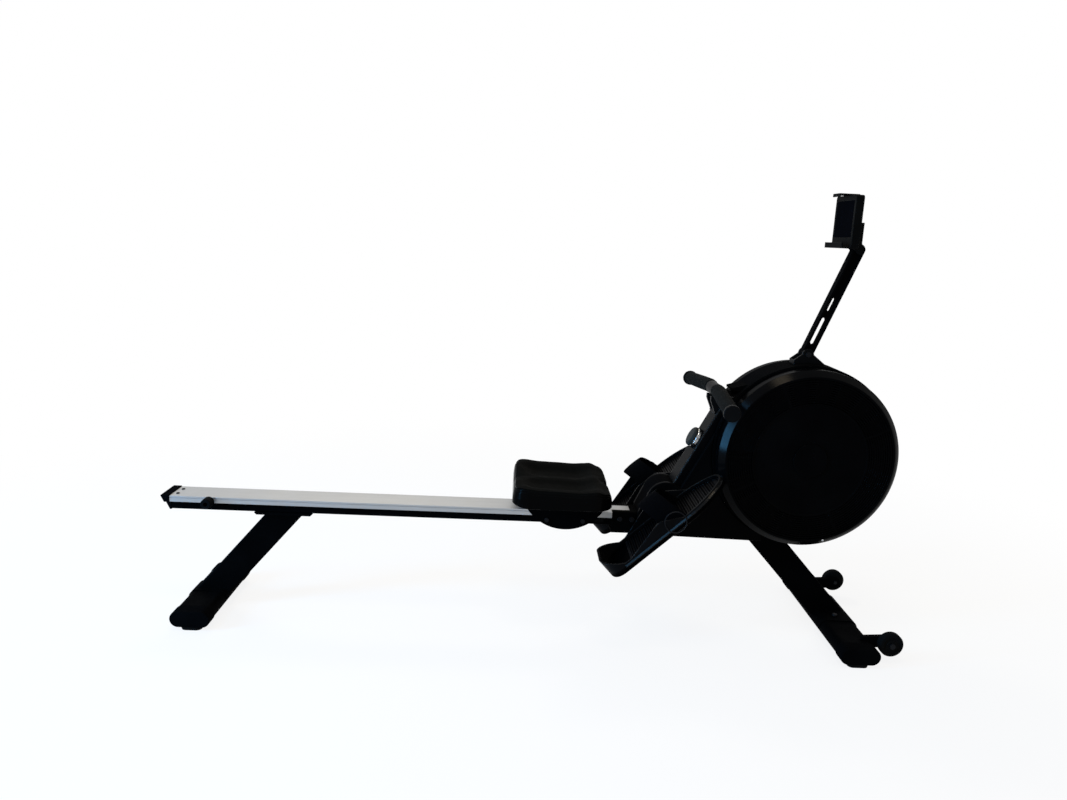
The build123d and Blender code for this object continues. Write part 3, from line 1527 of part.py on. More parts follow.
def cushion_section(along, narrowing, bottom_rise, edge_drop, dish_share):
    """Draws one cross section; along runs from the rear edge to the front edge."""
    half = cushion_half_width - narrowing
    bottom = cushion_bottom_z + bottom_rise
    edge = cushion_bottom_z + cushion_height - edge_drop
    ridge = edge - cushion_ridge * dish_share
    dish = edge - cushion_dish * dish_share
    ridge_edge = (ridge + dish) / 2
    shoulder = half - cushion_edge
    waist = (bottom + edge) / 2
    with BuildSketch(Plane.YZ.offset(cushion_rear_x + along * cushion_length)) as section:
        with BuildLine():
            Line((-half + cushion_draw_in, bottom), (half - cushion_draw_in, bottom))
            ThreePointArc((half - cushion_draw_in, bottom), (half, waist), (shoulder, edge))
            ThreePointArc((shoulder, edge), (half / 2, dish), (cushion_ridge_half, ridge_edge))
            ThreePointArc((cushion_ridge_half, ridge_edge), (0, ridge), (-cushion_ridge_half, ridge_edge))
            ThreePointArc((-cushion_ridge_half, ridge_edge), (-half / 2, dish), (-shoulder, edge))
            ThreePointArc((-shoulder, edge), (-half, waist), (-half + cushion_draw_in, bottom))
        make_face()
    return section.sketch


cushion_sections = [
    cushion_section(0.0, 52, 10, 4, 0.3),
    cushion_section(0.06, 22, 2, -cushion_rear_raise, 0.5),
    cushion_section(0.25, 3, 0, -cushion_rear_raise / 3, 1.0),
    cushion_section(0.55, 0, 0, 2, 1.0),
    cushion_section(0.82, 3, 0, -4, 0.9),
    cushion_section(0.95, 14, 2, 2, 0.7),
    cushion_section(1.0, 40, 10, 12, 0.4),
]
with BuildPart() as seat_cushion:
    loft(cushion_sections)
    split(bisect_by=Plane.XY.offset(cushion_bottom_z), keep=Keep.TOP)
save(seat_cushion, "seat_cushion")

# Pedals
pedal_y = (pedal_inner_y + pedal_outer_y) / 2
pedal_half = (pedal_outer_y - pedal_inner_y) / 2
heel_x, heel_z = pedal_heel_x, pedal_heel_z
pedal_out = (-sin(pedal_lean), 0, cos(pedal_lean))
pedal_up = (cos(pedal_lean), 0, sin(pedal_lean))
tread_plane = Plane((heel_x, -pedal_y, heel_z), x_dir=pedal_up, z_dir=pedal_out)
pedal_side = Plane((heel_x, 0, heel_z), x_dir=pedal_up, z_dir=(0, -1, 0))
strap_plane = Plane((heel_x, -pedal_y, heel_z), x_dir=(0, 1, 0), z_dir=pedal_up)


def pedal_outline():
    """Draws the pedal seen from above its tread: round heel, straight sides, rounded toe."""
    heel_corner = pedal_half - pedal_heel_flat
    heel_start = heel_corner - pedal_heel
    nose_centre = pedal_toe - pedal_nose
    run = nose_centre - pedal_straight
    side_radius = (run**2 + pedal_half**2 - pedal_nose**2) / (2 * (pedal_half - pedal_nose))
    share = pedal_nose / (side_radius - pedal_nose)
    meet = nose_centre + share * run
    meet_half = share * (side_radius - pedal_half)
    Line((heel_start, -pedal_half), (pedal_straight, -pedal_half))
    TangentArc((pedal_straight, -pedal_half), (meet, -meet_half), tangent=(1, 0))
    ThreePointArc((meet, -meet_half), (pedal_toe, 0), (meet, meet_half))
    TangentArc((pedal_straight, pedal_half), (meet, meet_half), tangent=(1, 0))
    Line((pedal_straight, pedal_half), (heel_start, pedal_half))
    TangentArc((heel_start, pedal_half), (-pedal_heel, pedal_heel_flat), tangent=(-1, 0))
    Line((-pedal_heel, pedal_heel_flat), (-pedal_heel, -pedal_heel_flat))
    TangentArc((heel_start, -pedal_half), (-pedal_heel, -pedal_heel_flat), tangent=(-1, 0))


with BuildPart() as pedal_right:
    with BuildSketch(tread_plane):
        with BuildLine():
            pedal_outline()
        make_face()
    extrude(amount=-pedal_depth)
    fillet(pedal_right.faces().sort_by(Axis((0, 0, 0), pedal_out))[0].edges(), pedal_round)
    with BuildSketch(tread_plane):
        with BuildLine():
            pedal_outline()
        make_face()
        with Locations((pedal_toe, 0)):
            Rectangle(2 * pedal_toe, 4 * pedal_half, mode=Mode.SUBTRACT)
    heel_rise = heel_rim_slope * pedal_heel
    extrude(amount=heel_rise)
    with BuildSketch(pedal_side.offset(pedal_inner_y)):
        Polygon((0, 0), (-2 * pedal_heel, 2 * heel_rise), (0, 2 * heel_rise), align=None)
    extrude(amount=2 * pedal_half, mode=Mode.SUBTRACT)
    with BuildSketch(tread_plane.offset(heel_rise)):
        with BuildLine():
            pedal_outline()
        make_face()
        offset(amount=-pedal_wall, mode=Mode.REPLACE)
    extrude(amount=-heel_rise - tread_drop, mode=Mode.SUBTRACT)
    with BuildSketch(tread_plane):
        with BuildLine():
            pedal_outline()
        make_face()
        offset(amount=-pedal_wall, mode=Mode.REPLACE)
        with Locations((heel_pocket_end + pedal_toe, 0)):
            Rectangle(2 * pedal_toe, 4 * pedal_half, mode=Mode.SUBTRACT)
    extrude(amount=-heel_pocket_drop, mode=Mode.SUBTRACT)
    with BuildSketch(tread_plane.offset(-pedal_depth)):
        with BuildLine():
            pedal_outline()
        make_face()
        offset(amount=-hollow_inset, mode=Mode.REPLACE)
        with Locations((hollow_start - pedal_toe, 0)):
            Rectangle(2 * pedal_toe, 4 * pedal_half, mode=Mode.SUBTRACT)
    extrude(amount=pedal_depth - tread_drop - tread_plate, mode=Mode.SUBTRACT)
    rib_count = int((tread_rib_last - tread_rib_first) / tread_rib_pitch) + 1
    with BuildSketch(tread_plane.offset(-tread_drop)):
        with Locations(*[(tread_rib_first + i * tread_rib_pitch, 0) for i in range(rib_count)]):
            Rectangle(tread_rib_width, 2 * pedal_half)
        with BuildLine():
            pedal_outline()
        make_face(mode=Mode.INTERSECT)
    extrude(amount=tread_rib_height)
    for wall_y, wall_line in (
        (pedal_inner_y, inner_wall_line),
        (pedal_outer_y - wall_thickness, outer_wall_line),
    ):
        with BuildSketch(pedal_side.offset(wall_y)):
            Polygon(
                (wall_line[0][0], -tread_drop), *wall_line, (wall_line[-1][0], -tread_drop), align=None
            )
        extrude(amount=wall_thickness)
    with BuildSketch(pedal_side.offset(pedal_inner_y + pedal_boss_inset)):
        with Locations((pedal_axle_u, -pedal_axle_drop)):
            Circle(pedal_boss_radius)
        with Locations((pedal_axle_u, -(pedal_axle_drop + tread_drop + tread_plate) / 2)):
            Rectangle(2 * pedal_boss_radius, pedal_axle_drop - tread_drop - tread_plate)
    extrude(amount=pedal_boss_length)
    with BuildSketch(pedal_side):
        with Locations((pedal_axle_u, -pedal_axle_drop)):
            Circle(pedal_axle_diameter / 2 + running_clearance)
    extrude(amount=pedal_outer_y, mode=Mode.SUBTRACT)
save(pedal_right, "pedal_right")

with BuildPart() as pedal_left:
    mirror(pedal_right.part, about=Plane.XZ)
save(pedal_left, "pedal_left")

with BuildPart() as foot_strap_right:
    strap_half = pedal_half - pedal_wall - foot_strap_gap
    strap_low = tread_rib_height - tread_drop + foot_strap_gap
    inner_half = strap_half - foot_strap_thickness
    with BuildSketch(strap_plane.offset(foot_strap_start)):
        with BuildLine():
            outer_end = (strap_half - foot_strap_draw_in, foot_strap_flank)
            inner_end = (inner_half - foot_strap_draw_in, foot_strap_flank)
            outer_crest = (0, foot_strap_height)
            inner_crest = (0, foot_strap_height - foot_strap_thickness)
            Line((-strap_half, strap_low), (-outer_end[0], foot_strap_flank))
            ThreePointArc((-outer_end[0], foot_strap_flank), outer_crest, outer_end)
            Polyline(outer_end, (strap_half, strap_low), (inner_half, strap_low), inner_end)
            ThreePointArc(inner_end, inner_crest, (-inner_end[0], foot_strap_flank))
            Polyline((-inner_end[0], foot_strap_flank), (-inner_half, strap_low), (-strap_half, strap_low))
        make_face()
    extrude(amount=foot_strap_width)
save(foot_strap_right, "foot_strap_right")

with BuildPart() as foot_strap_left:
    mirror(foot_strap_right.part, about=Plane.XZ)
save(foot_strap_left, "foot_strap_left")
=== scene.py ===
"""Looks of a rowing machine: finishes for its solids, and its soft and woven pieces as modelled meshes.

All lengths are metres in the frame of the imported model: X along the rail towards the fan, Y to the
rower's left, Z up from the floor.
"""
import json
import math

import bmesh
import bpy
from mathutils import Matrix, Vector


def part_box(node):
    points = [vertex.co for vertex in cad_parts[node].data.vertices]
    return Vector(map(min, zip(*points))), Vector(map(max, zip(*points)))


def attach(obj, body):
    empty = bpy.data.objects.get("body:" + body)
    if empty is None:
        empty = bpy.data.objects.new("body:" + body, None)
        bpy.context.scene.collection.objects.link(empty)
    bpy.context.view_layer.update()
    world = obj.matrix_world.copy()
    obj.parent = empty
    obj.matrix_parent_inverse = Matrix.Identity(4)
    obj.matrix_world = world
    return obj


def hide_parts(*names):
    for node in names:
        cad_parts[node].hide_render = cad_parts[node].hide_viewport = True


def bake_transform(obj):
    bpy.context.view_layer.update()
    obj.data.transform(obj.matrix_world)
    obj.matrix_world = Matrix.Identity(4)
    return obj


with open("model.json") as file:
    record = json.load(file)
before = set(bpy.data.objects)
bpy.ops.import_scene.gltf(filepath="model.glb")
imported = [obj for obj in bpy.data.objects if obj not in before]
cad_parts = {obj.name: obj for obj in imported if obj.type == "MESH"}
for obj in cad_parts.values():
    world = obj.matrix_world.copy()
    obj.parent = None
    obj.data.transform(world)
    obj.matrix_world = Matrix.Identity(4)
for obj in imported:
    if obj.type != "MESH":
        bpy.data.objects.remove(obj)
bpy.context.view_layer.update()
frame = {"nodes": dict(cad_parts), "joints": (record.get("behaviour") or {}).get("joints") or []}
nodes = frame["nodes"]
scene = bpy.context.scene

# The photograph's camera: where it stands, how it is turned and its lens
CAMERA_PLACE = Vector((-0.0433, -2.0952, 1.0496))
CAMERA_YAW = -0.0216
CAMERA_PITCH = 0.2031
CAMERA_ROLL = 0.0449
CAMERA_LENS = 27.065
CAMERA_SENSOR = 36.0

# Pedals: slope of the tread and the heel's corner, in the plane of the machine
PEDAL_SLOPE = math.radians(43)
PEDAL_HEEL = Vector((0.246, 0.0, 0.257))
PEDAL_UP = Vector((math.cos(PEDAL_SLOPE), 0.0, math.sin(PEDAL_SLOPE)))
PEDAL_OUT = Vector((-math.sin(PEDAL_SLOPE), 0.0, math.cos(PEDAL_SLOPE)))

# Tread: heights above the heel's corner where the base and the ribs begin and end, then the ribs' places
# along the slope, the half width of the lines between them as a share of the pitch, and the painted shade's tone and
# shine
TREAD_BELOW = (-0.0108, -0.0104)
TREAD_RIB_FOOT = (-0.0096, -0.0090)
TREAD_RIB_TOP = (-0.0074, -0.0068)
TREAD_FIRST_RIB = 0.026
TREAD_RIB_PITCH = 0.013
TREAD_LINE_HALF = 0.1
TREAD_PAINTED_SHADE = (0.0004, 0.0004, 0.0005)
TREAD_PAINTED_SHADE_SHINE = 0.002

# Fan: its place, and the band of the covers' rims by distance from the axis and from the middle plane
FAN_PLACE = Vector((0.722, 0.0, 0.508))
COVER_RIM_REACH = (0.2195, 0.2205)
COVER_RIM_Y = (0.0880, 0.0892)


# Shader groups
def shader_group(name, numbers, outputs):
    """Starts a shader group with number inputs and named outputs."""
    tree = bpy.data.node_groups.new(name, "ShaderNodeTree")
    for label, value in numbers.items():
        socket = tree.interface.new_socket(label, in_out="INPUT", socket_type="NodeSocketFloat")
        socket.default_value = value
    for label in outputs:
        tree.interface.new_socket(label, in_out="OUTPUT", socket_type="NodeSocketFloat")
    return tree, tree.nodes.new("NodeGroupInput"), tree.nodes.new("NodeGroupOutput")


def node(tree, kind, sockets=None, **settings):
    """Adds a node; a socket given another node's output is linked, any other value is set."""
    made = tree.nodes.new(kind)
    for key, value in settings.items():
        setattr(made, key, value)
    for key, value in (sockets or {}).items():
        if isinstance(value, bpy.types.NodeSocket):
            tree.links.new(value, made.inputs[key])
        else:
            made.inputs[key].default_value = value
    return made


def object_coordinates(tree):
    return node(tree, "ShaderNodeTexCoord").outputs["Object"]


def range_of(tree, value, low, high, start=0.3, stop=0.7, **settings):
    """Maps a value from the range start to stop onto the range low to high."""
    bounds = {"From Min": start, "From Max": stop, "To Min": low, "To Max": high}
    return node(tree, "ShaderNodeMapRange", {"Value": value, **bounds}, **settings).outputs["Result"]


def calculated(tree, operation, *values):
    """Output of a Math node on numbers and other nodes' outputs."""
    return node(tree, "ShaderNodeMath", dict(enumerate(values)), operation=operation).outputs["Value"]


def facing_up(tree):
    """Z part of the surface's own normal."""
    normal = node(tree, "ShaderNodeNewGeometry").outputs["Normal"]
    return node(tree, "ShaderNodeSeparateXYZ", {"Vector": normal}).outputs["Z"]


def make_moulded_grain():
    """Fine moulding or coating texture with slow mottling."""
    tree, given, result = shader_group("moulded grain", {"Scale": 900.0, "Mottle": 9.0}, ("Height", "Mottle"))
    place = object_coordinates(tree)
    grain = node(tree, "ShaderNodeTexNoise", {"Vector": place, "Scale": given.outputs["Scale"], "Detail": 3.0})
    mottle = node(tree, "ShaderNodeTexNoise", {"Vector": place, "Scale": given.outputs["Mottle"], "Detail": 5.0})
    tree.links.new(grain.outputs["Fac"], result.inputs["Height"])
    tree.links.new(mottle.outputs["Fac"], result.inputs["Mottle"])
    return tree


def make_settled_dust():
    """Thin dust on faces that look up, broken up by noise."""
    tree, given, result = shader_group("settled dust", {"Amount": 0.3, "Scale": 60.0}, ("Mask",))
    place = object_coordinates(tree)
    patches = node(tree, "ShaderNodeTexNoise", {"Vector": place, "Scale": given.outputs["Scale"], "Detail": 6.0})
    up = range_of(tree, facing_up(tree), 0.0, 1.0, 0.45, 1.0)
    broken = range_of(tree, patches.outputs["Fac"], 0.0, 1.0, 0.38, 0.72)
    mask = calculated(tree, "MULTIPLY", calculated(tree, "MULTIPLY", up, broken), given.outputs["Amount"])
    tree.links.new(mask, result.inputs["Mask"])
    return tree


def make_hand_marks():
    """Patches where hands and cloths have left the surface glossier or duller."""
    tree, given, result = shader_group("hand marks", {"Scale": 14.0}, ("Mask",))
    place = object_coordinates(tree)
    cloud = node(
        tree,
        "ShaderNodeTexNoise",
        {"Vector": place, "Scale": given.outputs["Scale"], "Detail": 8.0, "Roughness": 0.62, "Distortion": 0.8},
    )
    tree.links.new(cloud.outputs["Fac"], result.inputs["Mask"])
    return tree


def make_drawn_lines():
    """Fine lines along X, as drawing and brushing leave on a rail."""
    tree, given, result = shader_group("drawn lines", {"Fineness": 1400.0}, ("Height",))
    stretch = node(tree, "ShaderNodeMapping", {"Vector": object_coordinates(tree), "Scale": (0.006, 1.0, 1.0)})
    lines = node(
        tree,
        "ShaderNodeTexNoise",
        {"Vector": stretch.outputs["Vector"], "Scale": given.outputs["Fineness"], "Detail": 4.0, "Roughness": 0.7},
    )
    tree.links.new(lines.outputs["Fac"], result.inputs["Height"])
    return tree


def make_webbing_weave():
    """Ribbed plain weave on the piece's own UV map, u along the strap in metres and v across it."""
    tree, given, result = shader_group("webbing weave", {"Pitch": 620.0}, ("Height", "Tone"))
    flat = node(tree, "ShaderNodeTexCoord").outputs["UV"]
    scaled = node(tree, "ShaderNodeVectorMath", {0: flat}, operation="SCALE")
    tree.links.new(given.outputs["Pitch"], scaled.inputs["Scale"])
    warp = node(
        tree,
        "ShaderNodeTexWave",
        {"Vector": scaled.outputs["Vector"], "Scale": 0.35},
        wave_type="BANDS",
        bands_direction="Y",
    )
    weft = node(
        tree,
        "ShaderNodeTexWave",
        {"Vector": scaled.outputs["Vector"], "Scale": 0.55, "Distortion": 0.6, "Detail": 1.0},
        wave_type="BANDS",
        bands_direction="X",
    )
    height = calculated(tree, "MULTIPLY", warp.outputs["Fac"], weft.outputs["Fac"])
    tree.links.new(height, result.inputs["Height"])
    tree.links.new(weft.outputs["Fac"], result.inputs["Tone"])
    return tree


def make_skin_pebble():
    """Pebbled skin of a moulded seat, with fine creases between the pebbles."""
    tree, given, result = shader_group("skin pebble", {"Scale": 420.0}, ("Height", "Crease"))
    place = object_coordinates(tree)
    warp = node(tree, "ShaderNodeTexNoise", {"Vector": place, "Scale": 90.0, "Detail": 2.0})
    shift = node(
        tree, "ShaderNodeVectorMath", {0: warp.outputs["Color"], 1: (0.004, 0.004, 0.004)}, operation="MULTIPLY"
    )
    moved = node(tree, "ShaderNodeVectorMath", {0: place, 1: shift.outputs["Vector"]}, operation="ADD")
    cells = node(
        tree,
        "ShaderNodeTexVoronoi",
        {"Vector": moved.outputs["Vector"], "Scale": given.outputs["Scale"]},
        feature="DISTANCE_TO_EDGE",
    )
    height = range_of(tree, cells.outputs["Distance"], 0.0, 1.0, 0.0, 0.22)
    tree.links.new(height, result.inputs["Height"])
    tree.links.new(calculated(tree, "SUBTRACT", 1.0, height), result.inputs["Crease"])
    return tree


def make_foam_pores():
    """Open pores of a foamed grip."""
    tree, given, result = shader_group("foam pores", {"Scale": 700.0}, ("Height", "Pore"))
    cells = node(
        tree,
        "ShaderNodeTexVoronoi",
        {"Vector": object_coordinates(tree), "Scale": given.outputs["Scale"], "Randomness": 1.0},
        feature="F1",
    )
    height = range_of(tree, cells.outputs["Distance"], 0.0, 1.0, 0.12, 0.5)
    tree.links.new(height, result.inputs["Height"])
    tree.links.new(calculated(tree, "SUBTRACT", 1.0, height), result.inputs["Pore"])
    return tree


def make_chamfered_rim():
    """Normal of a flat chamfer round the rim of a fan cover, and the mask of the band it covers."""
    tree, _, result = shader_group("chamfered rim", {}, ("Mask",))
    tree.interface.new_socket("Normal", in_out="OUTPUT", socket_type="NodeSocketVector")
    off = node(tree, "ShaderNodeVectorMath", {0: object_coordinates(tree), 1: FAN_PLACE}, operation="SUBTRACT")
    parts = node(tree, "ShaderNodeSeparateXYZ", {"Vector": off.outputs["Vector"]})
    spoke = node(tree, "ShaderNodeCombineXYZ", {"X": parts.outputs["X"], "Z": parts.outputs["Z"]})
    reach = node(tree, "ShaderNodeVectorMath", {0: spoke.outputs["Vector"]}, operation="LENGTH")
    outward = node(tree, "ShaderNodeVectorMath", {0: spoke.outputs["Vector"]}, operation="NORMALIZE")
    sideways = node(tree, "ShaderNodeCombineXYZ", {"Y": calculated(tree, "SIGN", parts.outputs["Y"])})
    slope = node(
        tree, "ShaderNodeVectorMath", {0: outward.outputs["Vector"], 1: sideways.outputs["Vector"]}, operation="ADD"
    )
    normal = node(tree, "ShaderNodeVectorMath", {0: slope.outputs["Vector"]}, operation="NORMALIZE")
    inner = range_of(tree, reach.outputs["Value"], 0.0, 1.0, *COVER_RIM_REACH)
    outer = range_of(tree, calculated(tree, "ABSOLUTE", parts.outputs["Y"]), 0.0, 1.0, *COVER_RIM_Y)
    tree.links.new(calculated(tree, "MULTIPLY", inner, outer), result.inputs["Mask"])
    tree.links.new(normal.outputs["Vector"], result.inputs["Normal"])
    return tree


MOULDED_GRAIN = make_moulded_grain()
SETTLED_DUST = make_settled_dust()
HAND_MARKS = make_hand_marks()
DRAWN_LINES = make_drawn_lines()
WEBBING_WEAVE = make_webbing_weave()
SKIN_PEBBLE = make_skin_pebble()
FOAM_PORES = make_foam_pores()
CHAMFERED_RIM = make_chamfered_rim()

# Finishes: dust, strength of the grain, how much smoother and shinier worn edges are, how closely the rounded
# normal and the surface's own agree from the edge inwards, and the shine of the fan covers' rims
DUST_COLOUR = (0.12, 0.117, 0.11)
GRAIN_STRENGTH = 0.4
EDGE_POLISH = 0.75
EDGE_SHINE = 4.0
EDGE_ALIKE = (0.88, 0.995)
RIM_SHINE = 0.025


def parts_of(material):
    """Node tree and Principled shader of a material."""
    return material.node_tree, material.node_tree.nodes["Principled BSDF"]


def new_finish(name):
    """An empty material with its node tree and Principled shader."""
    material = bpy.data.materials.new(name)
    material.use_nodes = True
    return material, *parts_of(material)


def use_group(tree, group, **numbers):
    made = node(tree, "ShaderNodeGroup", node_tree=group)
    for label, value in numbers.items():
        made.inputs[label].default_value = value
    return made


def mix_colours(tree, share, first, second):
    """Mixes two colours, each a tuple or another node's output."""
    mixed = node(tree, "ShaderNodeMix", data_type="RGBA")
    tree.links.new(share, mixed.inputs[0])
    for socket, colour in ((mixed.inputs[6], first), (mixed.inputs[7], second)):
        if isinstance(colour, bpy.types.NodeSocket):
            tree.links.new(colour, socket)
        else:
            socket.default_value = (*colour, 1.0)
    return mixed.outputs[2]


def relief(tree, shader, height, strength, depth, edge=0.0):
    """Bump from a height, with an edge radius on normals rounded over sharp edges; gives the rounded normal."""
    bump = node(tree, "ShaderNodeBump", {"Height": height, "Strength": strength, "Distance": depth})
    tree.links.new(bump.outputs["Normal"], shader.inputs["Normal"])
    if not edge:
        return None
    rounded = node(tree, "ShaderNodeBevel", {"Radius": edge}, samples=4)
    tree.links.new(rounded.outputs["Normal"], bump.inputs["Normal"])
    return rounded.outputs["Normal"]


def polished_edges(tree, rounded):
    """Mask of the edges, where the rounded normal leaves the surface's own."""
    plain = node(tree, "ShaderNodeNewGeometry").outputs["Normal"]
    alike = node(tree, "ShaderNodeVectorMath", {0: rounded, 1: plain}, operation="DOT_PRODUCT")
    return range_of(tree, alike.outputs["Value"], 1.0, 0.0, *EDGE_ALIKE)


def set_roughness(tree, shader, marks, rough):
    """Roughness between two bounds, by the hand marks."""
    tree.links.new(range_of(tree, marks.outputs["Mask"], *rough), shader.inputs["Roughness"])


def overlay(tree, shader, label, share, value):
    """Lays a number over what already feeds one of the shader's sockets."""
    plain = shader.inputs[label].links[0].from_socket
    mixed = node(tree, "ShaderNodeMix", {0: share, 2: plain, 3: value})
    tree.links.new(mixed.outputs[0], shader.inputs[label])


def coated(
    name, dark, light, rough, grain, depth,
    edge=0.0008, dust=0.006, metallic=0.0, specular=0.016, edge_shine=EDGE_SHINE,
):
    """Paint, plastic, rubber or machined metal: mottled colour, hand marks, grain, settled dust, worn edges."""
    material, tree, shader = new_finish(name)
    texture = use_group(tree, MOULDED_GRAIN, Scale=grain)
    marks = use_group(tree, HAND_MARKS)
    dusty = use_group(tree, SETTLED_DUST, Amount=dust)
    mottled = mix_colours(tree, range_of(tree, texture.outputs["Mottle"], 0.0, 1.0), dark, light)
    shown = mix_colours(tree, dusty.outputs["Mask"], mottled, DUST_COLOUR)
    tree.links.new(shown, shader.inputs["Base Color"])
    shader.inputs["Metallic"].default_value = metallic
    rounded = relief(tree, shader, texture.outputs["Height"], GRAIN_STRENGTH, depth, edge)
    polished = polished_edges(tree, rounded)
    set_roughness(tree, shader, marks, rough)
    smooth = range_of(tree, marks.outputs["Mask"], *(EDGE_POLISH * bound for bound in rough))
    overlay(tree, shader, "Roughness", polished, smooth)
    shine = range_of(tree, polished, specular, edge_shine * specular, 0.0, 1.0)
    tree.links.new(shine, shader.inputs["Specular IOR Level"])
    return material


def fan_cover_plastic(name, dark, light, rough):
    """Smooth cover plastic whose rim is shaded as a flat chamfer."""
    material = coated(name, dark, light, rough, grain=1800.0, depth=0.00001, specular=0.004)
    tree, shader = parts_of(material)
    rim = use_group(tree, CHAMFERED_RIM)
    plain = shader.inputs["Normal"].links[0].from_socket
    blended = node(
        tree, "ShaderNodeMix", {0: rim.outputs["Mask"], 4: plain, 5: rim.outputs["Normal"]}, data_type="VECTOR"
    )
    tree.links.new(blended.outputs[1], shader.inputs["Normal"])
    overlay(tree, shader, "Specular IOR Level", rim.outputs["Mask"], RIM_SHINE)
    return material


def tread_painted_shade_share(tree):
    """Mask of the painted shade on the tread: the ribs' sides, the lines between the ribs and everything below the
    tread.
    """
    place = object_coordinates(tree)
    rise = node(tree, "ShaderNodeVectorMath", {0: place, 1: PEDAL_OUT}, operation="DOT_PRODUCT").outputs["Value"]
    along = node(tree, "ShaderNodeVectorMath", {0: place, 1: PEDAL_UP}, operation="DOT_PRODUCT").outputs["Value"]
    heel_rise = PEDAL_HEEL.dot(PEDAL_OUT)
    first_rib = PEDAL_HEEL.dot(PEDAL_UP) + TREAD_FIRST_RIB
    below = range_of(tree, rise, 1.0, 0.0, *(heel_rise + bound for bound in TREAD_BELOW))
    foot = range_of(tree, rise, 0.0, 1.0, *(heel_rise + bound for bound in TREAD_RIB_FOOT))
    crest = range_of(tree, rise, 1.0, 0.0, *(heel_rise + bound for bound in TREAD_RIB_TOP))
    pitches = range_of(tree, along, 0.0, 1.0, first_rib, first_rib + TREAD_RIB_PITCH, clamp=False)
    between = calculated(tree, "COMPARE", calculated(tree, "FRACT", pitches), 0.5, TREAD_LINE_HALF)
    lined = calculated(tree, "MAXIMUM", calculated(tree, "MULTIPLY", foot, crest), between)
    return calculated(tree, "MAXIMUM", below, calculated(tree, "MULTIPLY", lined, crest))


def pedal_plastic(name, dark, light, rough):
    """Grained plastic with painted shade: darker and dull on the ribs' sides, in the tread's lines and everywhere
    below the tread.
    """
    material = coated(name, dark, light, rough, grain=1500.0, depth=0.00003, edge=0.002, specular=0.02)
    tree, shader = parts_of(material)
    share = tread_painted_shade_share(tree)
    plain = shader.inputs["Base Color"].links[0].from_socket
    # painted shade: the tread's lines, the ribs' sides and everything below the tread get a darker colour and less
    # shine
    tree.links.new(mix_colours(tree, share, plain, TREAD_PAINTED_SHADE), shader.inputs["Base Color"])
    overlay(tree, shader, "Specular IOR Level", share, TREAD_PAINTED_SHADE_SHINE)
    return material


def drawn_aluminium(name):
    """Anodised rail with fine lines along it and patches of settled dust."""
    material, tree, shader = new_finish(name)
    lines = use_group(tree, DRAWN_LINES)
    marks = use_group(tree, HAND_MARKS, Scale=5.0)
    dusty = use_group(tree, SETTLED_DUST, Amount=0.16, Scale=26.0)
    lined = range_of(tree, lines.outputs["Height"], 0.0, 1.0)
    tone = mix_colours(tree, lined, (0.31, 0.315, 0.32), (0.40, 0.40, 0.40))
    shown = mix_colours(tree, dusty.outputs["Mask"], tone, (0.31, 0.295, 0.27))
    tree.links.new(shown, shader.inputs["Base Color"])
    set_roughness(tree, shader, marks, (0.34, 0.46))
    shader.inputs["Metallic"].default_value = 0.85
    relief(tree, shader, lines.outputs["Height"], strength=0.25, depth=0.0002, edge=0.0006)
    return material


def woven_webbing(name, dark, light):
    """Dense woven strap."""
    material, tree, shader = new_finish(name)
    weave = use_group(tree, WEBBING_WEAVE)
    marks = use_group(tree, HAND_MARKS, Scale=40.0)
    tone = mix_colours(tree, weave.outputs["Tone"], dark, light)
    tree.links.new(tone, shader.inputs["Base Color"])
    set_roughness(tree, shader, marks, (0.7, 0.85))
    shader.inputs["Specular IOR Level"].default_value = 0.004
    shader.inputs["Sheen Weight"].default_value = 0.002
    relief(tree, shader, weave.outputs["Height"], strength=0.8, depth=0.0006)
    return material


def seat_skin(name):
    """Pebbled black skin of the moulded seat: dull on top and glossier on the walls, with painted shade darkening
    the walls and the creases between the pebbles.
    """
    material, tree, shader = new_finish(name)
    pebble = use_group(tree, SKIN_PEBBLE)
    marks = use_group(tree, HAND_MARKS, Scale=16.0)
    dusty = use_group(tree, SETTLED_DUST, Amount=0.005, Scale=90.0)
    # painted shade: the creases between the pebbles are coloured darker than the pebbles
    tone = mix_colours(tree, pebble.outputs["Crease"], (0.0032, 0.0032, 0.0027), (0.0014, 0.0014, 0.0013))
    top = range_of(tree, facing_up(tree), 0.0, 1.0, 0.35, 0.75)
    # painted shade: faces that do not look up, the seat's walls, are coloured darker than its top
    skin = mix_colours(tree, top, (0.0008, 0.0008, 0.0008), tone)
    shown = mix_colours(tree, dusty.outputs["Mask"], skin, DUST_COLOUR)
    tree.links.new(shown, shader.inputs["Base Color"])
    set_roughness(tree, shader, marks, (0.16, 0.2))
    overlay(tree, shader, "Roughness", top, range_of(tree, marks.outputs["Mask"], 0.54, 0.66))
    tree.links.new(range_of(tree, top, 0.016, 0.003, 0.0, 1.0), shader.inputs["Specular IOR Level"])
    relief(tree, shader, pebble.outputs["Height"], strength=0.4, depth=0.00005)
    return material


def grip_foam(name):
    """Dense foam of the handle's grips, with painted shade darkening the pores."""
    material, tree, shader = new_finish(name)
    pores = use_group(tree, FOAM_PORES)
    marks = use_group(tree, HAND_MARKS, Scale=22.0)
    # painted shade: the pores are coloured darker than the foam between them
    tone = mix_colours(tree, pores.outputs["Pore"], (0.0042, 0.0042, 0.0037), (0.0016, 0.0016, 0.0014))
    tree.links.new(tone, shader.inputs["Base Color"])
    set_roughness(tree, shader, marks, (0.78, 0.92))
    shader.inputs["Specular IOR Level"].default_value = 0.015
    shader.inputs["Sheen Weight"].default_value = 0.006
    relief(tree, shader, pores.outputs["Height"], strength=0.6, depth=0.0005)
    return material


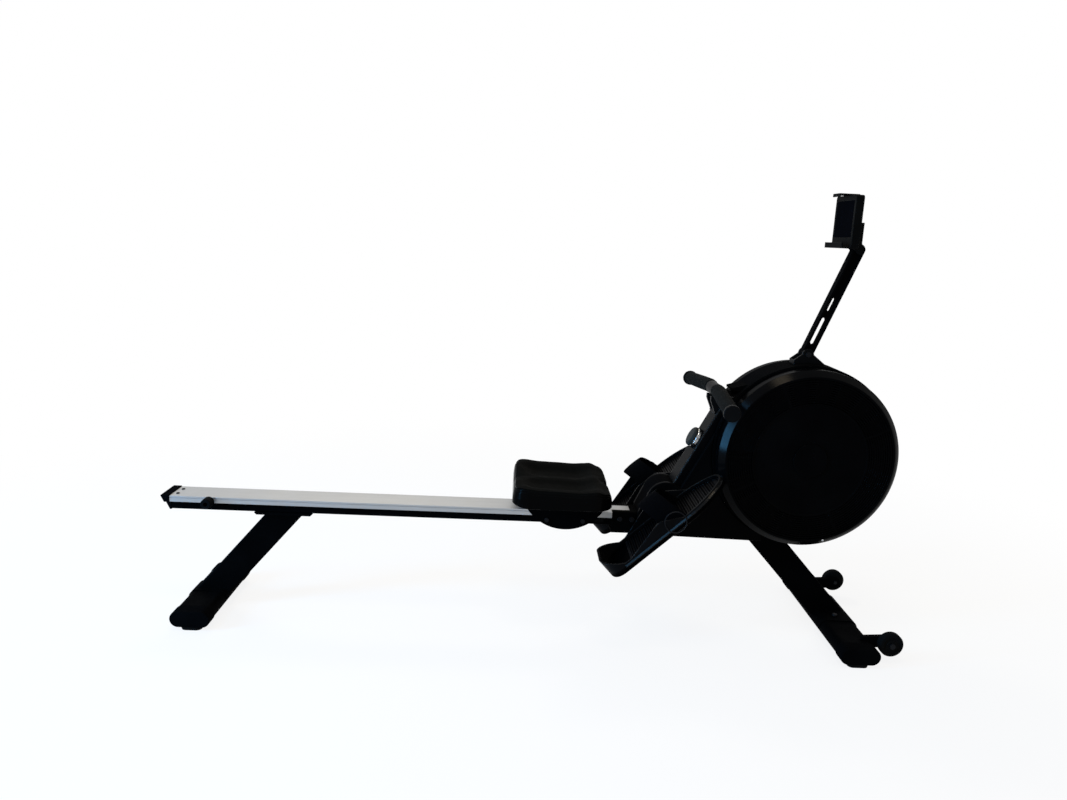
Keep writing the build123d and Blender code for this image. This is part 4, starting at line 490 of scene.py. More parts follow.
def display_window(name):
    """Dark, dull display window with a faint mottle and wiped patches."""
    material, tree, shader = new_finish(name)
    marks = use_group(tree, HAND_MARKS, Scale=30.0)
    texture = use_group(tree, MOULDED_GRAIN, Scale=1600.0, Mottle=18.0)
    tone = mix_colours(tree, texture.outputs["Mottle"], (0.0009, 0.0009, 0.0013), (0.0015, 0.0015, 0.0021))
    tree.links.new(tone, shader.inputs["Base Color"])
    set_roughness(tree, shader, marks, (0.5, 0.62))
    shader.inputs["Specular IOR Level"].default_value = 0.0006
    return material


FRAME_PAINT = coated(
    "satin black frame paint", (0.0007, 0.0007, 0.0008), (0.0014, 0.0014, 0.0015), (0.54, 0.68),
    grain=1300.0, depth=0.0001, specular=0.003,
)
SPINE_PAINT = coated(
    "gloss black spine paint", (0.0012, 0.0012, 0.0014), (0.002, 0.002, 0.0022), (0.24, 0.3),
    grain=1600.0, depth=0.00001, edge=0.004, specular=0.007, edge_shine=60.0,
)
SIDE_COVER_BLACK = coated(
    "satin black side cover plastic", (0.001, 0.001, 0.0011), (0.0018, 0.0018, 0.002), (0.3, 0.38),
    grain=1600.0, depth=0.00001, edge=0.0009, specular=0.006, edge_shine=2.5,
)
KNOB_GREY = coated(
    "dark grey knob plastic", (0.016, 0.0155, 0.0135), (0.022, 0.0215, 0.019), (0.4, 0.5),
    grain=1500.0, depth=0.00003, specular=0.02,
)
MOULDED_BLACK = coated(
    "grained black plastic", (0.0014, 0.0014, 0.0016), (0.0026, 0.0026, 0.0028), (0.34, 0.44),
    grain=1500.0, depth=0.00003, edge=0.002, specular=0.02,
)
COVER_BLACK = fan_cover_plastic(
    "satin black cover plastic", (0.0008, 0.0008, 0.0009), (0.0016, 0.0016, 0.0018), (0.15, 0.19),
)
PEDAL_BLACK = pedal_plastic(
    "grained black pedal plastic", (0.0014, 0.0014, 0.0016), (0.0026, 0.0026, 0.0028), (0.34, 0.44),
)
LEDGE_BLACK = coated(
    "gloss black pedal edge", (0.0014, 0.0014, 0.0016), (0.0024, 0.0024, 0.0026), (0.2, 0.26),
    grain=1500.0, depth=0.00001, specular=0.06,
)
SHROUD_BLACK = coated(
    "dull black shroud plastic", (0.001, 0.001, 0.0011), (0.002, 0.002, 0.0022), (0.6, 0.72),
    grain=1600.0, depth=0.00005, edge=0.0003, specular=0.001,
)
CONSOLE_BLACK = coated(
    "dull black console plastic", (0.0014, 0.0014, 0.0014), (0.0026, 0.0026, 0.0025), (0.52, 0.64),
    grain=1600.0, depth=0.00005, specular=0.012,
)
RUBBER = coated(
    "black rubber", (0.002, 0.002, 0.002), (0.004, 0.004, 0.004), (0.7, 0.86),
    grain=800.0, depth=0.0004,
)
BOLT_BLACK = coated(
    "blackened bolt steel", (0.006, 0.006, 0.0065), (0.012, 0.012, 0.013), (0.36, 0.5),
    grain=900.0, depth=0.0002, metallic=0.5,
)
MACHINED_STEEL = coated(
    "machined steel", (0.42, 0.42, 0.43), (0.55, 0.55, 0.56), (0.28, 0.42),
    grain=1200.0, depth=0.0002, metallic=1.0,
)
CHROME = coated(
    "bright chrome", (0.4, 0.41, 0.42), (0.5, 0.51, 0.52), (0.12, 0.22),
    grain=700.0, depth=0.00005, dust=0.02, metallic=1.0,
)
ROLLER_NYLON = coated(
    "black roller nylon", (0.006, 0.006, 0.006), (0.010, 0.010, 0.010), (0.4, 0.55),
    grain=900.0, depth=0.0002,
)
FAN_BLACK = coated(
    "black fan plastic", (0.002, 0.002, 0.002), (0.004, 0.004, 0.004), (0.5, 0.65),
    grain=1200.0, depth=0.0003,
)
RAIL_SILVER = drawn_aluminium("anodised rail aluminium")
STRAP_WEBBING = woven_webbing("black strap webbing", (0.0005, 0.0005, 0.0006), (0.0018, 0.0018, 0.0022))
SEAT_SKIN = seat_skin("black seat skin")
GRIP_FOAM = grip_foam("black grip foam")
DISPLAY = display_window("dark display window")

NODE_FINISHES = {
    FRAME_PAINT: (
        "rear_foot_bar", "front_foot_bar", "rear_leg", "front_leg", "rail_beam", "main_beam",
        "handle_bar", "mast_arm", "wheel_brackets", "carriage_sides", "seat_pan", "axle_plates",
    ),
    SPINE_PAINT: ("spine",),
    MOULDED_BLACK: ("handle_caps", "handle_collar", "handle_rest", "mast_bracket"),
    PEDAL_BLACK: ("pedal_left", "pedal_right"),
    COVER_BLACK: ("fan_cover_left", "fan_cover_right", "hub_caps"),
    SIDE_COVER_BLACK: ("side_cover_left", "side_cover_right"),
    KNOB_GREY: ("knob",),
    SHROUD_BLACK: ("foot_cowl", "shroud", "rail_end_cap", "foot_caps"),
    CONSOLE_BLACK: ("console_shell", "console_bracket", "top_clip"),
    RUBBER: ("foot_pads", "rear_stop", "front_stops", "wheel_left", "wheel_right"),
    BOLT_BLACK: ("frame_bolts", "pivot_bolts", "roller_axles"),
    MACHINED_STEEL: ("pedal_axle", "fan_bearings", "fan_axle", "rewind_spring"),
    CHROME: ("knob_ring",),
    ROLLER_NYLON: (
        "strap_drum", "guide_roller", "upper_rollers_rear", "upper_rollers_front", "lower_rollers_rear",
        "lower_rollers_front",
    ),
    FAN_BLACK: ("fan_wheel_left", "fan_wheel_right"),
    RAIL_SILVER: ("rail_track",),
    STRAP_WEBBING: ("pull_strap", "foot_strap_left", "foot_strap_right"),
    SEAT_SKIN: ("seat_cushion",),
    GRIP_FOAM: ("handle_grips",),
    DISPLAY: ("console_screen",),
}
for finish, names in NODE_FINISHES.items():
    for name in names:
        nodes[name].data.materials.clear()
        nodes[name].data.materials.append(finish)


# Modelled pieces
def finish_piece(name, shape, finish, smooth=True):
    """Turns a bmesh into an object at the origin with its finish."""
    mesh = bpy.data.meshes.new(name)
    shape.to_mesh(mesh)
    shape.free()
    for face in mesh.polygons:
        face.use_smooth = smooth
    mesh.materials.append(finish)
    piece = bpy.data.objects.new(name, mesh)
    scene.collection.objects.link(piece)
    return piece


def extruded_ring(shape, edges):
    """Extrudes a ring of edges in place; gives the new ring's edges and points."""
    grown = bmesh.ops.extrude_edge_only(shape, edges=edges)["geom"]
    points = {item for item in grown if isinstance(item, bmesh.types.BMVert)}
    return [item for item in grown if isinstance(item, bmesh.types.BMEdge) and points.issuperset(item.verts)], points


def clamp_share(value):
    return min(max(value, 0.0), 1.0)


def smooth_step(low, high, value):
    share = clamp_share((value - low) / (high - low))
    return share * share * (3 - 2 * share)


def subdivision(piece, levels):
    modifier = piece.modifiers.new("rounding", "SUBSURF")
    modifier.levels = levels
    modifier.render_levels = levels


# Seat: moulded pad with two dishes beside a ridge, a raised rear, humps in front and a notch at each end.
# Corner radii are rear and front; the ridge and the notches are depth and half width; the other pairs are
# places along the machine between which a form fades; the rim lists places along the machine and heights.
SEAT_CUTS = 47
SEAT_CORNERS = (0.046, 0.058)
SEAT_TOP_ROUND = 0.008
SEAT_FOOT_DRAW = 0.002
SEAT_DRAFT = 0.006
SEAT_REAR_LIFT = 0.006
SEAT_BEAD_AT = 0.80
SEAT_BEAD_DEPTH = 0.0012
SEAT_BEAD_SPREAD = 0.03
SEAT_DISH_AT = 0.058
SEAT_DISH_SPREAD = 0.046
SEAT_DISH_DEPTH = 0.013
SEAT_DISH_REAR = (-0.04, 0.024)
SEAT_DISH_FRONT = (0.135, 0.19)
SEAT_DISH_FADE = 0.8
SEAT_RIDGE = (0.35, 0.014)
SEAT_REAR_END = (-0.05, 0.03)
SEAT_FRONT_END = (0.18, 0.216)
SEAT_REAR_NOTCH = (0.012, 0.068)
SEAT_NOTCH_TIP = 0.004
SEAT_FRONT_NOTCH = (0.011, 0.020)
SEAT_FRONT_POWER = 6
SEAT_LIFT_END = (-0.046, 0.0)
SEAT_FOOT_SHARE = 0.42
SEAT_RIM = (
    (-0.046, 0.4115), (-0.022, 0.4155), (0.034, 0.4105), (0.072, 0.4095), (0.128, 0.4075),
    (0.157, 0.4095), (0.174, 0.4112), (0.200, 0.4035), (0.222, 0.397),
)


def seat_rim_height(x):
    """Height of the pad's side rim at a place along the machine."""
    for (start, first), (stop, second) in zip(SEAT_RIM, SEAT_RIM[1:]):
        if x <= stop:
            return first + (second - first) * smooth_step(start, stop, x)
    return SEAT_RIM[-1][1]


def front_notch_share(y):
    return math.exp(-((y / SEAT_FRONT_NOTCH[1]) ** 2))


def seat_top(x, y):
    """Height of the pad's top."""
    dished = smooth_step(*SEAT_DISH_REAR, x) * (1 - SEAT_DISH_FADE * smooth_step(*SEAT_DISH_FRONT, x))
    dish = math.exp(-(((abs(y) - SEAT_DISH_AT) / SEAT_DISH_SPREAD) ** 4))
    ridge = SEAT_RIDGE[0] * math.exp(-((y / SEAT_RIDGE[1]) ** 2))
    rear = 1 - smooth_step(*SEAT_REAR_END, x)
    rear_notch = SEAT_REAR_NOTCH[0] * rear
    rear_notch *= clamp_share(1 - abs(y) / (SEAT_REAR_NOTCH[1] * rear + SEAT_NOTCH_TIP))
    front_notch = SEAT_FRONT_NOTCH[0] * smooth_step(*SEAT_FRONT_END, x) * front_notch_share(y)
    return seat_rim_height(x) - SEAT_DISH_DEPTH * (dish + ridge) * dished - rear_notch - front_notch


def seat_point(unit, middle, half, foot):
    """Place of a point of the unit cube on the pad: corners rounded in plan, top edge rolled, foot drawn in."""
    x, y = abs(unit.x) * half.x, abs(unit.y) * half.y
    side_x, side_y = math.copysign(1.0, unit.x), math.copysign(1.0, unit.y)
    out = clamp_share(1 + max(x - half.x, y - half.y) / SEAT_TOP_ROUND)
    corner = SEAT_CORNERS[side_x > 0]
    p = clamp_share((x - half.x) / corner + 1)
    q = clamp_share((y - half.y) / corner + 1)
    if p and q:
        x = half.x - corner + corner * p * math.sqrt(1 - q * q / 2)
        y = half.y - corner + corner * q * math.sqrt(1 - p * p / 2)
    if side_x > 0:
        x -= SEAT_FRONT_NOTCH[0] * (x / half.x) ** SEAT_FRONT_POWER * front_notch_share(y)
    top = seat_top(middle.x + side_x * x, side_y * y)
    bottom = foot + SEAT_REAR_LIFT * (1 - smooth_step(*SEAT_LIFT_END, middle.x + side_x * x))
    share = (unit.z + 1) / 2
    height = bottom + (top - bottom) * share
    up = clamp_share((height - top) / SEAT_TOP_ROUND + 1)
    inward = SEAT_TOP_ROUND * out * (1 - math.sqrt(1 - up * up / 2))
    inward += out * SEAT_FOOT_DRAW * (1 - smooth_step(0.0, SEAT_FOOT_SHARE, share))
    inward += out * SEAT_DRAFT * share
    inward += out * SEAT_BEAD_DEPTH * math.exp(-(((share - SEAT_BEAD_AT) / SEAT_BEAD_SPREAD) ** 2))
    if up:
        height = top - SEAT_TOP_ROUND + SEAT_TOP_ROUND * up * math.sqrt(1 - out * out / 2)
    length = math.hypot(p, q) or 1.0
    return Vector((
        middle.x + side_x * (x - inward * p / length),
        middle.y + side_y * (y - inward * q / length),
        height,
    ))


def model_seat():
    low, high = (Vector(corner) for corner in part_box("seat_cushion"))
    middle = (low + high) / 2
    half = (high - low) / 2
    shape = bmesh.new()
    bmesh.ops.create_cube(shape, size=2.0)
    bmesh.ops.subdivide_edges(shape, edges=shape.edges[:], cuts=SEAT_CUTS, use_grid_fill=True)
    for vert in shape.verts:
        vert.co = seat_point(vert.co, middle, half, low.z)
    piece = finish_piece("seat_pad", shape, SEAT_SKIN)
    subdivision(piece, 1)
    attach(piece, "seat")
    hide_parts("seat_cushion")


model_seat()

# Handle grips: foam sleeves along the bent bar, with closer steps in the rolled ends
GRIP_RADIUS = 0.019
GRIP_END_ROUND = 0.004
GRIP_SEGMENTS = 40
GRIP_STEPS = 48
GRIP_END_SHARES = (0.0, 0.004, 0.009, 0.014)
GRIP_STEPS_FROM = 0.02
GRIP_SWELL = 0.0006
HANDLE_MIDDLE = Vector((0.483, 0.0, 0.669))
HANDLE_BEND_Y = 0.052
HANDLE_HALF = 0.250
HANDLE_END_SHIFT = Vector((-0.014, 0.0, -0.015))
GRIP_FROM = 0.0315
GRIP_TO = 0.2405


def handle_point(distance, side):
    """Point on the handle's bent axis at a distance from the middle plane."""
    share = max(0.0, (distance - HANDLE_BEND_Y) / (HANDLE_HALF - HANDLE_BEND_Y))
    return HANDLE_MIDDLE + HANDLE_END_SHIFT * share + Vector((0.0, side * distance, 0.0))


def grip_radius(share):
    """Sleeve radius along the grip: rolled ends and a slight swell in the palm."""
    from_end = min(share, 1 - share) * (GRIP_TO - GRIP_FROM)
    rolled = math.sqrt(max(0.0, 1 - (1 - min(from_end / GRIP_END_ROUND, 1.0)) ** 2))
    swell = GRIP_SWELL * (math.sin(math.pi * share) - 1)
    return GRIP_RADIUS - GRIP_END_ROUND * (1 - rolled) + swell


def model_grip(side, name):
    shape = bmesh.new()
    middle = 1 - 2 * GRIP_STEPS_FROM
    shares = [*GRIP_END_SHARES, *(GRIP_STEPS_FROM + middle * step / GRIP_STEPS for step in range(GRIP_STEPS + 1))]
    shares += [1 - share for share in reversed(GRIP_END_SHARES)]
    turn = Matrix.Rotation(math.radians(90), 4, "X")
    bmesh.ops.create_circle(shape, cap_ends=False, segments=GRIP_SEGMENTS, radius=1.0, matrix=turn)
    ring, points = shape.edges[:], set(shape.verts)
    place, radius = Vector(), 1.0
    for index, share in enumerate(shares):
        if index:
            ring, points = extruded_ring(shape, ring)
        target = handle_point(GRIP_FROM + share * (GRIP_TO - GRIP_FROM), side)
        scale = grip_radius(share) / radius
        bmesh.ops.translate(shape, verts=list(points), vec=-place)
        bmesh.ops.scale(shape, verts=list(points), vec=(scale, scale, scale))
        bmesh.ops.translate(shape, verts=list(points), vec=target)
        place, radius = target, grip_radius(share)
    bmesh.ops.holes_fill(shape, edges=shape.edges[:], sides=0)
    bmesh.ops.recalc_face_normals(shape, faces=shape.faces[:])
    piece = finish_piece(name, shape, GRIP_FOAM)
    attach(piece, "handle")
    return piece


for grip in (model_grip(-1, "grip_right"), model_grip(1, "grip_left")):
    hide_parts("handle_grips")


# Straps: flat webbing with a UV map in metres
def model_strip(name, steps, width, place, thickness, length):
    """Webbing strip; place(share, offset) gives the point at a share of its length and an offset across."""
    shape = bmesh.new()
    bmesh.ops.create_grid(shape, x_segments=steps[0], y_segments=steps[1], size=0.5)
    layer = shape.loops.layers.uv.new("strap")
    for face in shape.faces:
        for loop in face.loops:
            loop[layer].uv = ((loop.vert.co.x + 0.5) * length, loop.vert.co.y * width)
    for vert in shape.verts:
        vert.co = place(vert.co.x + 0.5, vert.co.y * width)
    piece = finish_piece(name, shape, STRAP_WEBBING)
    thick = piece.modifiers.new("webbing thickness", "SOLIDIFY")
    thick.thickness = thickness
    thick.offset = 0.0
    subdivision(piece, 1)
    return piece


FOOT_STRAP_STEPS = (56, 8)
FOOT_STRAP_MIDDLE = 0.139
FOOT_STRAP_WIDTH = 0.062
FOOT_STRAP_HEM = 0.002
FOOT_STRAP_CROWN = 0.0022
FOOT_STRAP_SKEW = 0.027
FOOT_STRAP_SKEW_POWER = 1.15
FOOT_STRAP_ROOT = Vector((0.0645, -0.0065))
FOOT_STRAP_SHOULDER = Vector((0.0622, 0.012))
FOOT_STRAP_TOP = 0.0730
FOOT_STRAP_THICK = 0.0024
PEDAL_MIDDLE_Y = 0.149


def model_foot_strap(side, name, cad_node, body):
    """Strap with straight flanks and a round arch, its roots set a little towards the toe."""
    rise = FOOT_STRAP_TOP - FOOT_STRAP_SHOULDER.y
    radius = (FOOT_STRAP_SHOULDER.x**2 + rise**2) / (2 * rise)
    centre = FOOT_STRAP_TOP - radius
    arch = radius * math.acos((FOOT_STRAP_SHOULDER.y - centre) / radius)
    flank = (FOOT_STRAP_ROOT - FOOT_STRAP_SHOULDER).length
    half_length = arch + flank

    def place(share, offset):
        along = (2 * share - 1) * half_length
        spread = math.copysign(1.0, along)
        if abs(along) <= arch:
            crown = radius - FOOT_STRAP_CROWN * (2 * offset / FOOT_STRAP_WIDTH) ** 2
            y = crown * math.sin(along / radius)
            w = centre + crown * math.cos(along / radius)
        else:
            low = FOOT_STRAP_SHOULDER.lerp(FOOT_STRAP_ROOT, (abs(along) - arch) / flank)
            y, w = spread * low.x, low.y
        skew = FOOT_STRAP_SKEW * (abs(along) / half_length) ** FOOT_STRAP_SKEW_POWER
        u = FOOT_STRAP_MIDDLE + offset + skew
        return PEDAL_HEEL + PEDAL_UP * u + PEDAL_OUT * w + Vector((0.0, side * PEDAL_MIDDLE_Y + y, 0.0))

    width = FOOT_STRAP_WIDTH - FOOT_STRAP_HEM
    piece = model_strip(name, FOOT_STRAP_STEPS, width, place, FOOT_STRAP_THICK, 2 * half_length)
    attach(piece, body)
    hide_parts(cad_node)


model_foot_strap(-1, "foot_webbing_right", "foot_strap_right", "pedal_r")
model_foot_strap(1, "foot_webbing_left", "foot_strap_left", "pedal_l")

# Pull rings of the foot straps, outside the pedals' outer walls
PULL_RING_AT = (0.162, 0.005)
PULL_RING_Y = 0.2252
PULL_RING_RADIUS = 0.027
PULL_RING_WIRE = 0.0013
PULL_RING_WIRE_SIDES = 10
PULL_RING_STEPS = 56


def model_pull_ring(side, name, body):
    centre = PEDAL_HEEL + PEDAL_UP * PULL_RING_AT[0] + PEDAL_OUT * PULL_RING_AT[1]
    centre.y = side * PULL_RING_Y
    wire_place = Matrix.Translation(centre + Vector((PULL_RING_RADIUS, 0.0, 0.0)))
    shape = bmesh.new()
    bmesh.ops.create_circle(
        shape, cap_ends=False, segments=PULL_RING_WIRE_SIDES, radius=PULL_RING_WIRE, matrix=wire_place
    )
    bmesh.ops.spin(
        shape, geom=shape.verts[:] + shape.edges[:], cent=centre, axis=(0.0, 1.0, 0.0), angle=2 * math.pi,
        steps=PULL_RING_STEPS, use_merge=True,
    )
    bmesh.ops.recalc_face_normals(shape, faces=shape.faces[:])
    piece = finish_piece(name, shape, BOLT_BLACK)
    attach(piece, body)


model_pull_ring(-1, "pull_ring_right", "pedal_r")
model_pull_ring(1, "pull_ring_left", "pedal_l")

# Ledge round each pedal below its walls: outline of the pedal, and the ledge's section out of it and above it
PEDAL_HALF = 0.071
PEDAL_STRAIGHT = 0.190
PEDAL_SIDE_RADIUS = 0.184
PEDAL_NOSE_AT = 0.276
PEDAL_NOSE_RADIUS = 0.042
PEDAL_SIDE_STEPS = 12
PEDAL_BEND_STEPS = 10
PEDAL_NOSE_STEPS = 8
PEDAL_LEDGE_FROM = -0.004
PEDAL_LEDGE_SECTION = (
    (-0.0004, -0.0036), (0.0032, -0.0072), (0.0032, -0.0086), (-0.0004, -0.0122), (-0.0012, -0.0080),
)


def pedal_outline():
    """Places along the pedal's outline from its outer heel round the toe, with the directions out of it."""
    meet = math.atan2(PEDAL_SIDE_RADIUS - PEDAL_HALF, PEDAL_NOSE_AT - PEDAL_STRAIGHT)
    places = []
    for step in range(PEDAL_SIDE_STEPS):
        along = PEDAL_LEDGE_FROM + (PEDAL_STRAIGHT - PEDAL_LEDGE_FROM) * step / PEDAL_SIDE_STEPS
        places.append((Vector((along, PEDAL_HALF)), Vector((0.0, 1.0))))
    for step in range(PEDAL_BEND_STEPS):
        angle = math.pi / 2 + (meet - math.pi / 2) * step / PEDAL_BEND_STEPS
        out = Vector((math.cos(angle), math.sin(angle)))
        places.append((Vector((PEDAL_STRAIGHT, PEDAL_HALF - PEDAL_SIDE_RADIUS)) + PEDAL_SIDE_RADIUS * out, out))
    for step in range(PEDAL_NOSE_STEPS + 1):
        angle = meet * (1 - step / PEDAL_NOSE_STEPS)
        out = Vector((math.cos(angle), math.sin(angle)))
        places.append((Vector((PEDAL_NOSE_AT, 0.0)) + PEDAL_NOSE_RADIUS * out, out))
    flip = Vector((1.0, -1.0))
    return places + [(place * flip, out * flip) for place, out in reversed(places[:-1])]


def model_pedal_ledge(side, name, body):
    shape = bmesh.new()
    ring = bmesh.ops.create_circle(shape, cap_ends=False, segments=len(PEDAL_LEDGE_SECTION), radius=1.0)["verts"]
    edges = shape.edges[:]
    for index, (place, out) in enumerate(pedal_outline()):
        if index:
            edges, fresh = extruded_ring(shape, edges)
            ring = [next(end for edge in vert.link_edges for end in edge.verts if end in fresh) for vert in ring]
        for vert, (reach, rise) in zip(ring, PEDAL_LEDGE_SECTION):
            along, across = place + reach * out
            vert.co = PEDAL_HEEL + PEDAL_UP * along + PEDAL_OUT * rise
            vert.co.y += side * (PEDAL_MIDDLE_Y + across)
    bmesh.ops.holes_fill(shape, edges=shape.edges[:], sides=0)
    bmesh.ops.recalc_face_normals(shape, faces=shape.faces[:])
    piece = finish_piece(name, shape, LEDGE_BLACK, smooth=False)
    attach(piece, body)


model_pedal_ledge(-1, "pedal_ledge_right", "pedal_r")
model_pedal_ledge(1, "pedal_ledge_left", "pedal_l")


# Small screws of the rail's end and of the fan covers; the head's measures are shares of its radius
SIDES = ((-1, "right"), (1, "left"))
SCREW_HEAD_SIDES = 24
SCREW_HEAD_TOP = 0.72
SCREW_HEAD_DEPTH = 0.5
SCREW_HEAD_LIFT = 0.1
SCREW_SOCKET_SIDES = 6
SCREW_SOCKET = 0.4
SCREW_SOCKET_DEPTH = 0.06
SCREW_SOCKET_LIFT = 0.37
SCREW_SOCKET_INSET = (0.1, -0.2)
RAIL_SCREW_PLACE = (-0.944, 0.018, 0.3260)
RAIL_SCREW_RADIUS = 0.0055
COVER_SCREW_RADIUS = 0.0035
COVER_SCREW_AT = 0.223
COVER_SCREW_Y = 0.1041
COVER_SCREW_TURN = math.radians(-75)
COVER_SCREW_TILT = math.radians(17.8)


def model_screw(name, place, facing, radius, finish):
    """Low screw head with a hexagonal socket."""
    turn = Vector(facing).to_track_quat("Z", "Y").to_matrix().to_4x4()
    shape = bmesh.new()
    bmesh.ops.create_cone(
        shape, cap_ends=True, segments=SCREW_HEAD_SIDES, radius1=radius, radius2=SCREW_HEAD_TOP * radius,
        depth=SCREW_HEAD_DEPTH * radius, matrix=Matrix.Translation((0.0, 0.0, SCREW_HEAD_LIFT * radius)),
    )
    bmesh.ops.create_cone(
        shape, cap_ends=True, segments=SCREW_SOCKET_SIDES, radius1=SCREW_SOCKET * radius,
        radius2=SCREW_SOCKET * radius, depth=SCREW_SOCKET_DEPTH * radius,
        matrix=Matrix.Translation((0.0, 0.0, SCREW_SOCKET_LIFT * radius)),
    )
    hollow = [face for face in shape.faces if len(face.verts) == SCREW_SOCKET_SIDES and face.normal.z > 0.5]
    thickness, depth = (share * radius for share in SCREW_SOCKET_INSET)
    bmesh.ops.inset_region(shape, faces=hollow, thickness=thickness, depth=depth)
    bmesh.ops.transform(shape, matrix=Matrix.Translation(place) @ turn, verts=shape.verts[:])
    piece = finish_piece(name, shape, finish, smooth=False)
    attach(piece, "frame")


for side, side_name in SIDES:
    along, across, height = RAIL_SCREW_PLACE
    screw_place = (along, side * across, height)
    model_screw("rail_end_screw_" + side_name, screw_place, (0, 0, 1), RAIL_SCREW_RADIUS, BOLT_BLACK)

for side, side_name in SIDES:
    outward = Vector((math.cos(COVER_SCREW_TURN), 0.0, math.sin(COVER_SCREW_TURN)))
    screw_place = FAN_PLACE + COVER_SCREW_AT * outward + Vector((0.0, side * COVER_SCREW_Y, 0.0))
    screw_facing = math.cos(COVER_SCREW_TILT) * Vector((0.0, side, 0.0)) + math.sin(COVER_SCREW_TILT) * outward
    model_screw(
        "cover_screw_" + side_name, screw_place, screw_facing, COVER_SCREW_RADIUS, MACHINED_STEEL
    )

# Knurled ring round the knob: heights above the spine's face, radii and depth of the knurls
KNOB_RING_TEETH = 72
KNOB_RING_PROFILE = (
    (0.0007, 0.0252, 0.0), (0.0007, 0.0274, 0.0), (0.0014, 0.0284, 0.0005), (0.0078, 0.0284, 0.0005),
    (0.0084, 0.0284, 0.0), (0.0102, 0.0272, 0.0), (0.0102, 0.02706, 0.0), (0.0074, 0.02706, 0.0),
    (0.0072, 0.0252, 0.0),
)


def model_knob_ring():
    turn = next(joint for joint in frame["joints"] if joint["name"] == "knob_turn")
    shape = bmesh.new()
    bmesh.ops.create_circle(shape, cap_ends=False, segments=2 * KNOB_RING_TEETH, radius=1.0)
    first = ring = shape.edges[:]
    points = set(shape.verts)
    for index, (height, radius, knurl) in enumerate(KNOB_RING_PROFILE):
        if index:
            ring, points = extruded_ring(shape, ring)
        for vert in points:
            angle = math.atan2(vert.co.y, vert.co.x)
            tooth = round(angle / math.pi * KNOB_RING_TEETH) % 2
            reach = radius - knurl * tooth
            vert.co = (reach * math.cos(angle), reach * math.sin(angle), height)
    bmesh.ops.bridge_loops(shape, edges=first + ring)
    bmesh.ops.recalc_face_normals(shape, faces=shape.faces[:])
    axis_turn = Vector(turn["axis"]).to_track_quat("Z", "Y").to_matrix().to_4x4()
    bmesh.ops.transform(shape, matrix=Matrix.Translation(turn["pos_m"]) @ axis_turn, verts=shape.verts[:])
    piece = finish_piece("knob_knurled_ring", shape, CHROME, smooth=False)
    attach(piece, "knob")
    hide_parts("knob_ring")


model_knob_ring()

# Pull strap: its width, thickness and steps, and how far inside the solid strap's box its middle line runs
PULL_WIDTH = 0.024
PULL_THICK = 0.0018
PULL_STEPS = (24, 6)
PULL_INSET = 0.001


def model_pull_strap():
    """Strap from the collar to the guide roller, a fixed straight strip; the real strap pays out as the handle is
    drawn.
    """
    low, high = (Vector(corner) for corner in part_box("pull_strap"))
    collar_end = Vector((low.x, 0.0, high.z - PULL_INSET))
    roller_end = Vector((high.x, 0.0, low.z + PULL_INSET))

    def place(share, offset):
        return collar_end.lerp(roller_end, share) + Vector((0.0, offset, 0.0))

    length = (roller_end - collar_end).length
    piece = model_strip("pull_webbing", PULL_STEPS, PULL_WIDTH - PULL_INSET, place, PULL_THICK, length)
    bpy.context.view_layer.update()
    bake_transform(piece)
    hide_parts("pull_strap")


model_pull_strap()

# Stage, light and camera: the floor's tone, the distances over which it fades and how white it is seen there
FLOOR_HALF = 30.0
FLOOR_TONE = (0.9, 0.9, 0.9, 1.0)
FLOOR_FADE = (0.9, 2.6)
FLOOR_SEEN = (0.86, 1.0)
WORLD_LIGHT = 0.5
WHITE = (1.0, 1.0, 1.0)
WINDOW_BLUE = (0.14, 0.52, 1.0)
LAMPS = (
    ("low blue window", (-3.05, -1.15, 0.95), (0.3, -0.05, 0.6), (0.34, 1.8), 150.0, WINDOW_BLUE),
    ("high blue window", (-1.8, -1.37, 2.23), (0.35, -0.22, 0.33), (0.4, 0.7), 20.0, WINDOW_BLUE),
    ("front fill", (1.2, -3.4, 2.6), (0.2, 0.0, 0.5), (2.4, 2.0), 6.0, WHITE),
    ("warm back light", (-1.0, 2.2, 3.1), (0.2, 0.0, 0.5), (1.2, 0.5), 36.0, (1.0, 0.88, 0.68)),
    ("warm top light", (0.1, -0.8, 3.2), (0.5, 0.0, 0.6), (0.8, 0.4), 16.0, (1.0, 0.84, 0.6)),
)


def seen_directly(tree):
    """Mask of the camera's own rays and of those that mirror or pass through something."""
    path = node(tree, "ShaderNodeLightPath")
    mirrored = calculated(tree, "MAXIMUM", path.outputs["Is Camera Ray"], path.outputs["Is Glossy Ray"])
    return calculated(tree, "MAXIMUM", mirrored, path.outputs["Is Transmission Ray"])


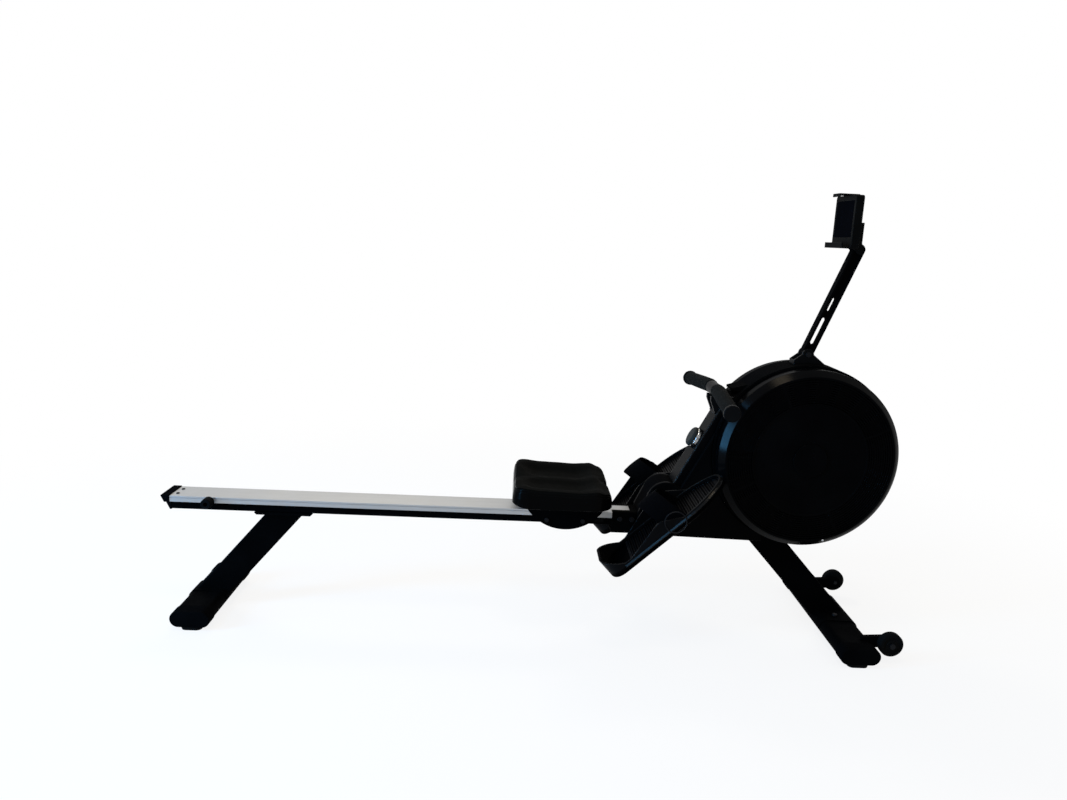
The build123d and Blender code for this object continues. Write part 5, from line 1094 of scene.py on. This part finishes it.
def make_floor():
    """Pale floor that fades to white far from the machine."""
    shape = bmesh.new()
    bmesh.ops.create_grid(shape, x_segments=1, y_segments=1, size=FLOOR_HALF)
    material, tree, shader = new_finish("pale floor")
    shader.inputs["Roughness"].default_value = 0.9
    shader.inputs["Specular IOR Level"].default_value = 0.1
    shader.inputs["Base Color"].default_value = FLOOR_TONE
    distance = node(tree, "ShaderNodeVectorMath", {0: object_coordinates(tree)}, operation="LENGTH")
    fade = range_of(
        tree, distance.outputs["Value"], *FLOOR_SEEN, *FLOOR_FADE, interpolation_type="SMOOTHSTEP"
    )
    white = node(tree, "ShaderNodeEmission", {"Color": (*WHITE, 1.0), "Strength": 1.0})
    both = node(tree, "ShaderNodeMixShader", {0: calculated(tree, "MULTIPLY", fade, seen_directly(tree))})
    tree.links.new(shader.outputs["BSDF"], both.inputs[1])
    tree.links.new(white.outputs["Emission"], both.inputs[2])
    tree.links.new(both.outputs["Shader"], tree.nodes["Material Output"].inputs["Surface"])
    finish_piece("floor", shape, material, smooth=False)


def make_world():
    """White to the camera and in reflections, soft grey daylight otherwise."""
    world = bpy.data.worlds.new("soft studio")
    world.use_nodes = True
    tree = world.node_tree
    background = tree.nodes["Background"]
    background.inputs["Color"].default_value = (*WHITE, 1.0)
    strength = range_of(tree, seen_directly(tree), WORLD_LIGHT, 1.0, 0.0, 1.0)
    tree.links.new(strength, background.inputs["Strength"])
    scene.world = world


def add_lamp(name, place, aim, size, power, colour):
    lamp = bpy.data.lights.new(name, "AREA")
    lamp.shape = "RECTANGLE"
    lamp.size, lamp.size_y = size
    lamp.energy = power
    lamp.color = colour
    holder = bpy.data.objects.new(name, lamp)
    holder.location = place
    holder.rotation_euler = (Vector(aim) - Vector(place)).to_track_quat("-Z", "Y").to_euler()
    holder.visible_camera = False
    scene.collection.objects.link(holder)


def make_camera():
    forward = Vector((-math.sin(CAMERA_YAW), math.cos(CAMERA_YAW), 0.0))
    right = Vector((math.cos(CAMERA_YAW), math.sin(CAMERA_YAW), 0.0))
    down = Vector((0.0, 0.0, -1.0))
    cos_pitch, sin_pitch = math.cos(CAMERA_PITCH), math.sin(CAMERA_PITCH)
    forward, down = cos_pitch * forward + sin_pitch * down, cos_pitch * down - sin_pitch * forward
    cos_roll, sin_roll = math.cos(CAMERA_ROLL), math.sin(CAMERA_ROLL)
    right, down = cos_roll * right - sin_roll * down, cos_roll * down + sin_roll * right
    turn = Matrix((right, -down, -forward)).transposed().to_4x4()
    data = bpy.data.cameras.new("photograph camera")
    data.lens = CAMERA_LENS
    data.sensor_width = CAMERA_SENSOR
    camera = bpy.data.objects.new("photograph camera", data)
    camera.matrix_world = Matrix.Translation(CAMERA_PLACE) @ turn
    scene.collection.objects.link(camera)
    scene.camera = camera


make_floor()
make_world()
make_camera()
for lamp_values in LAMPS:
    add_lamp(*lamp_values)
scene.view_settings.view_transform = "Standard"
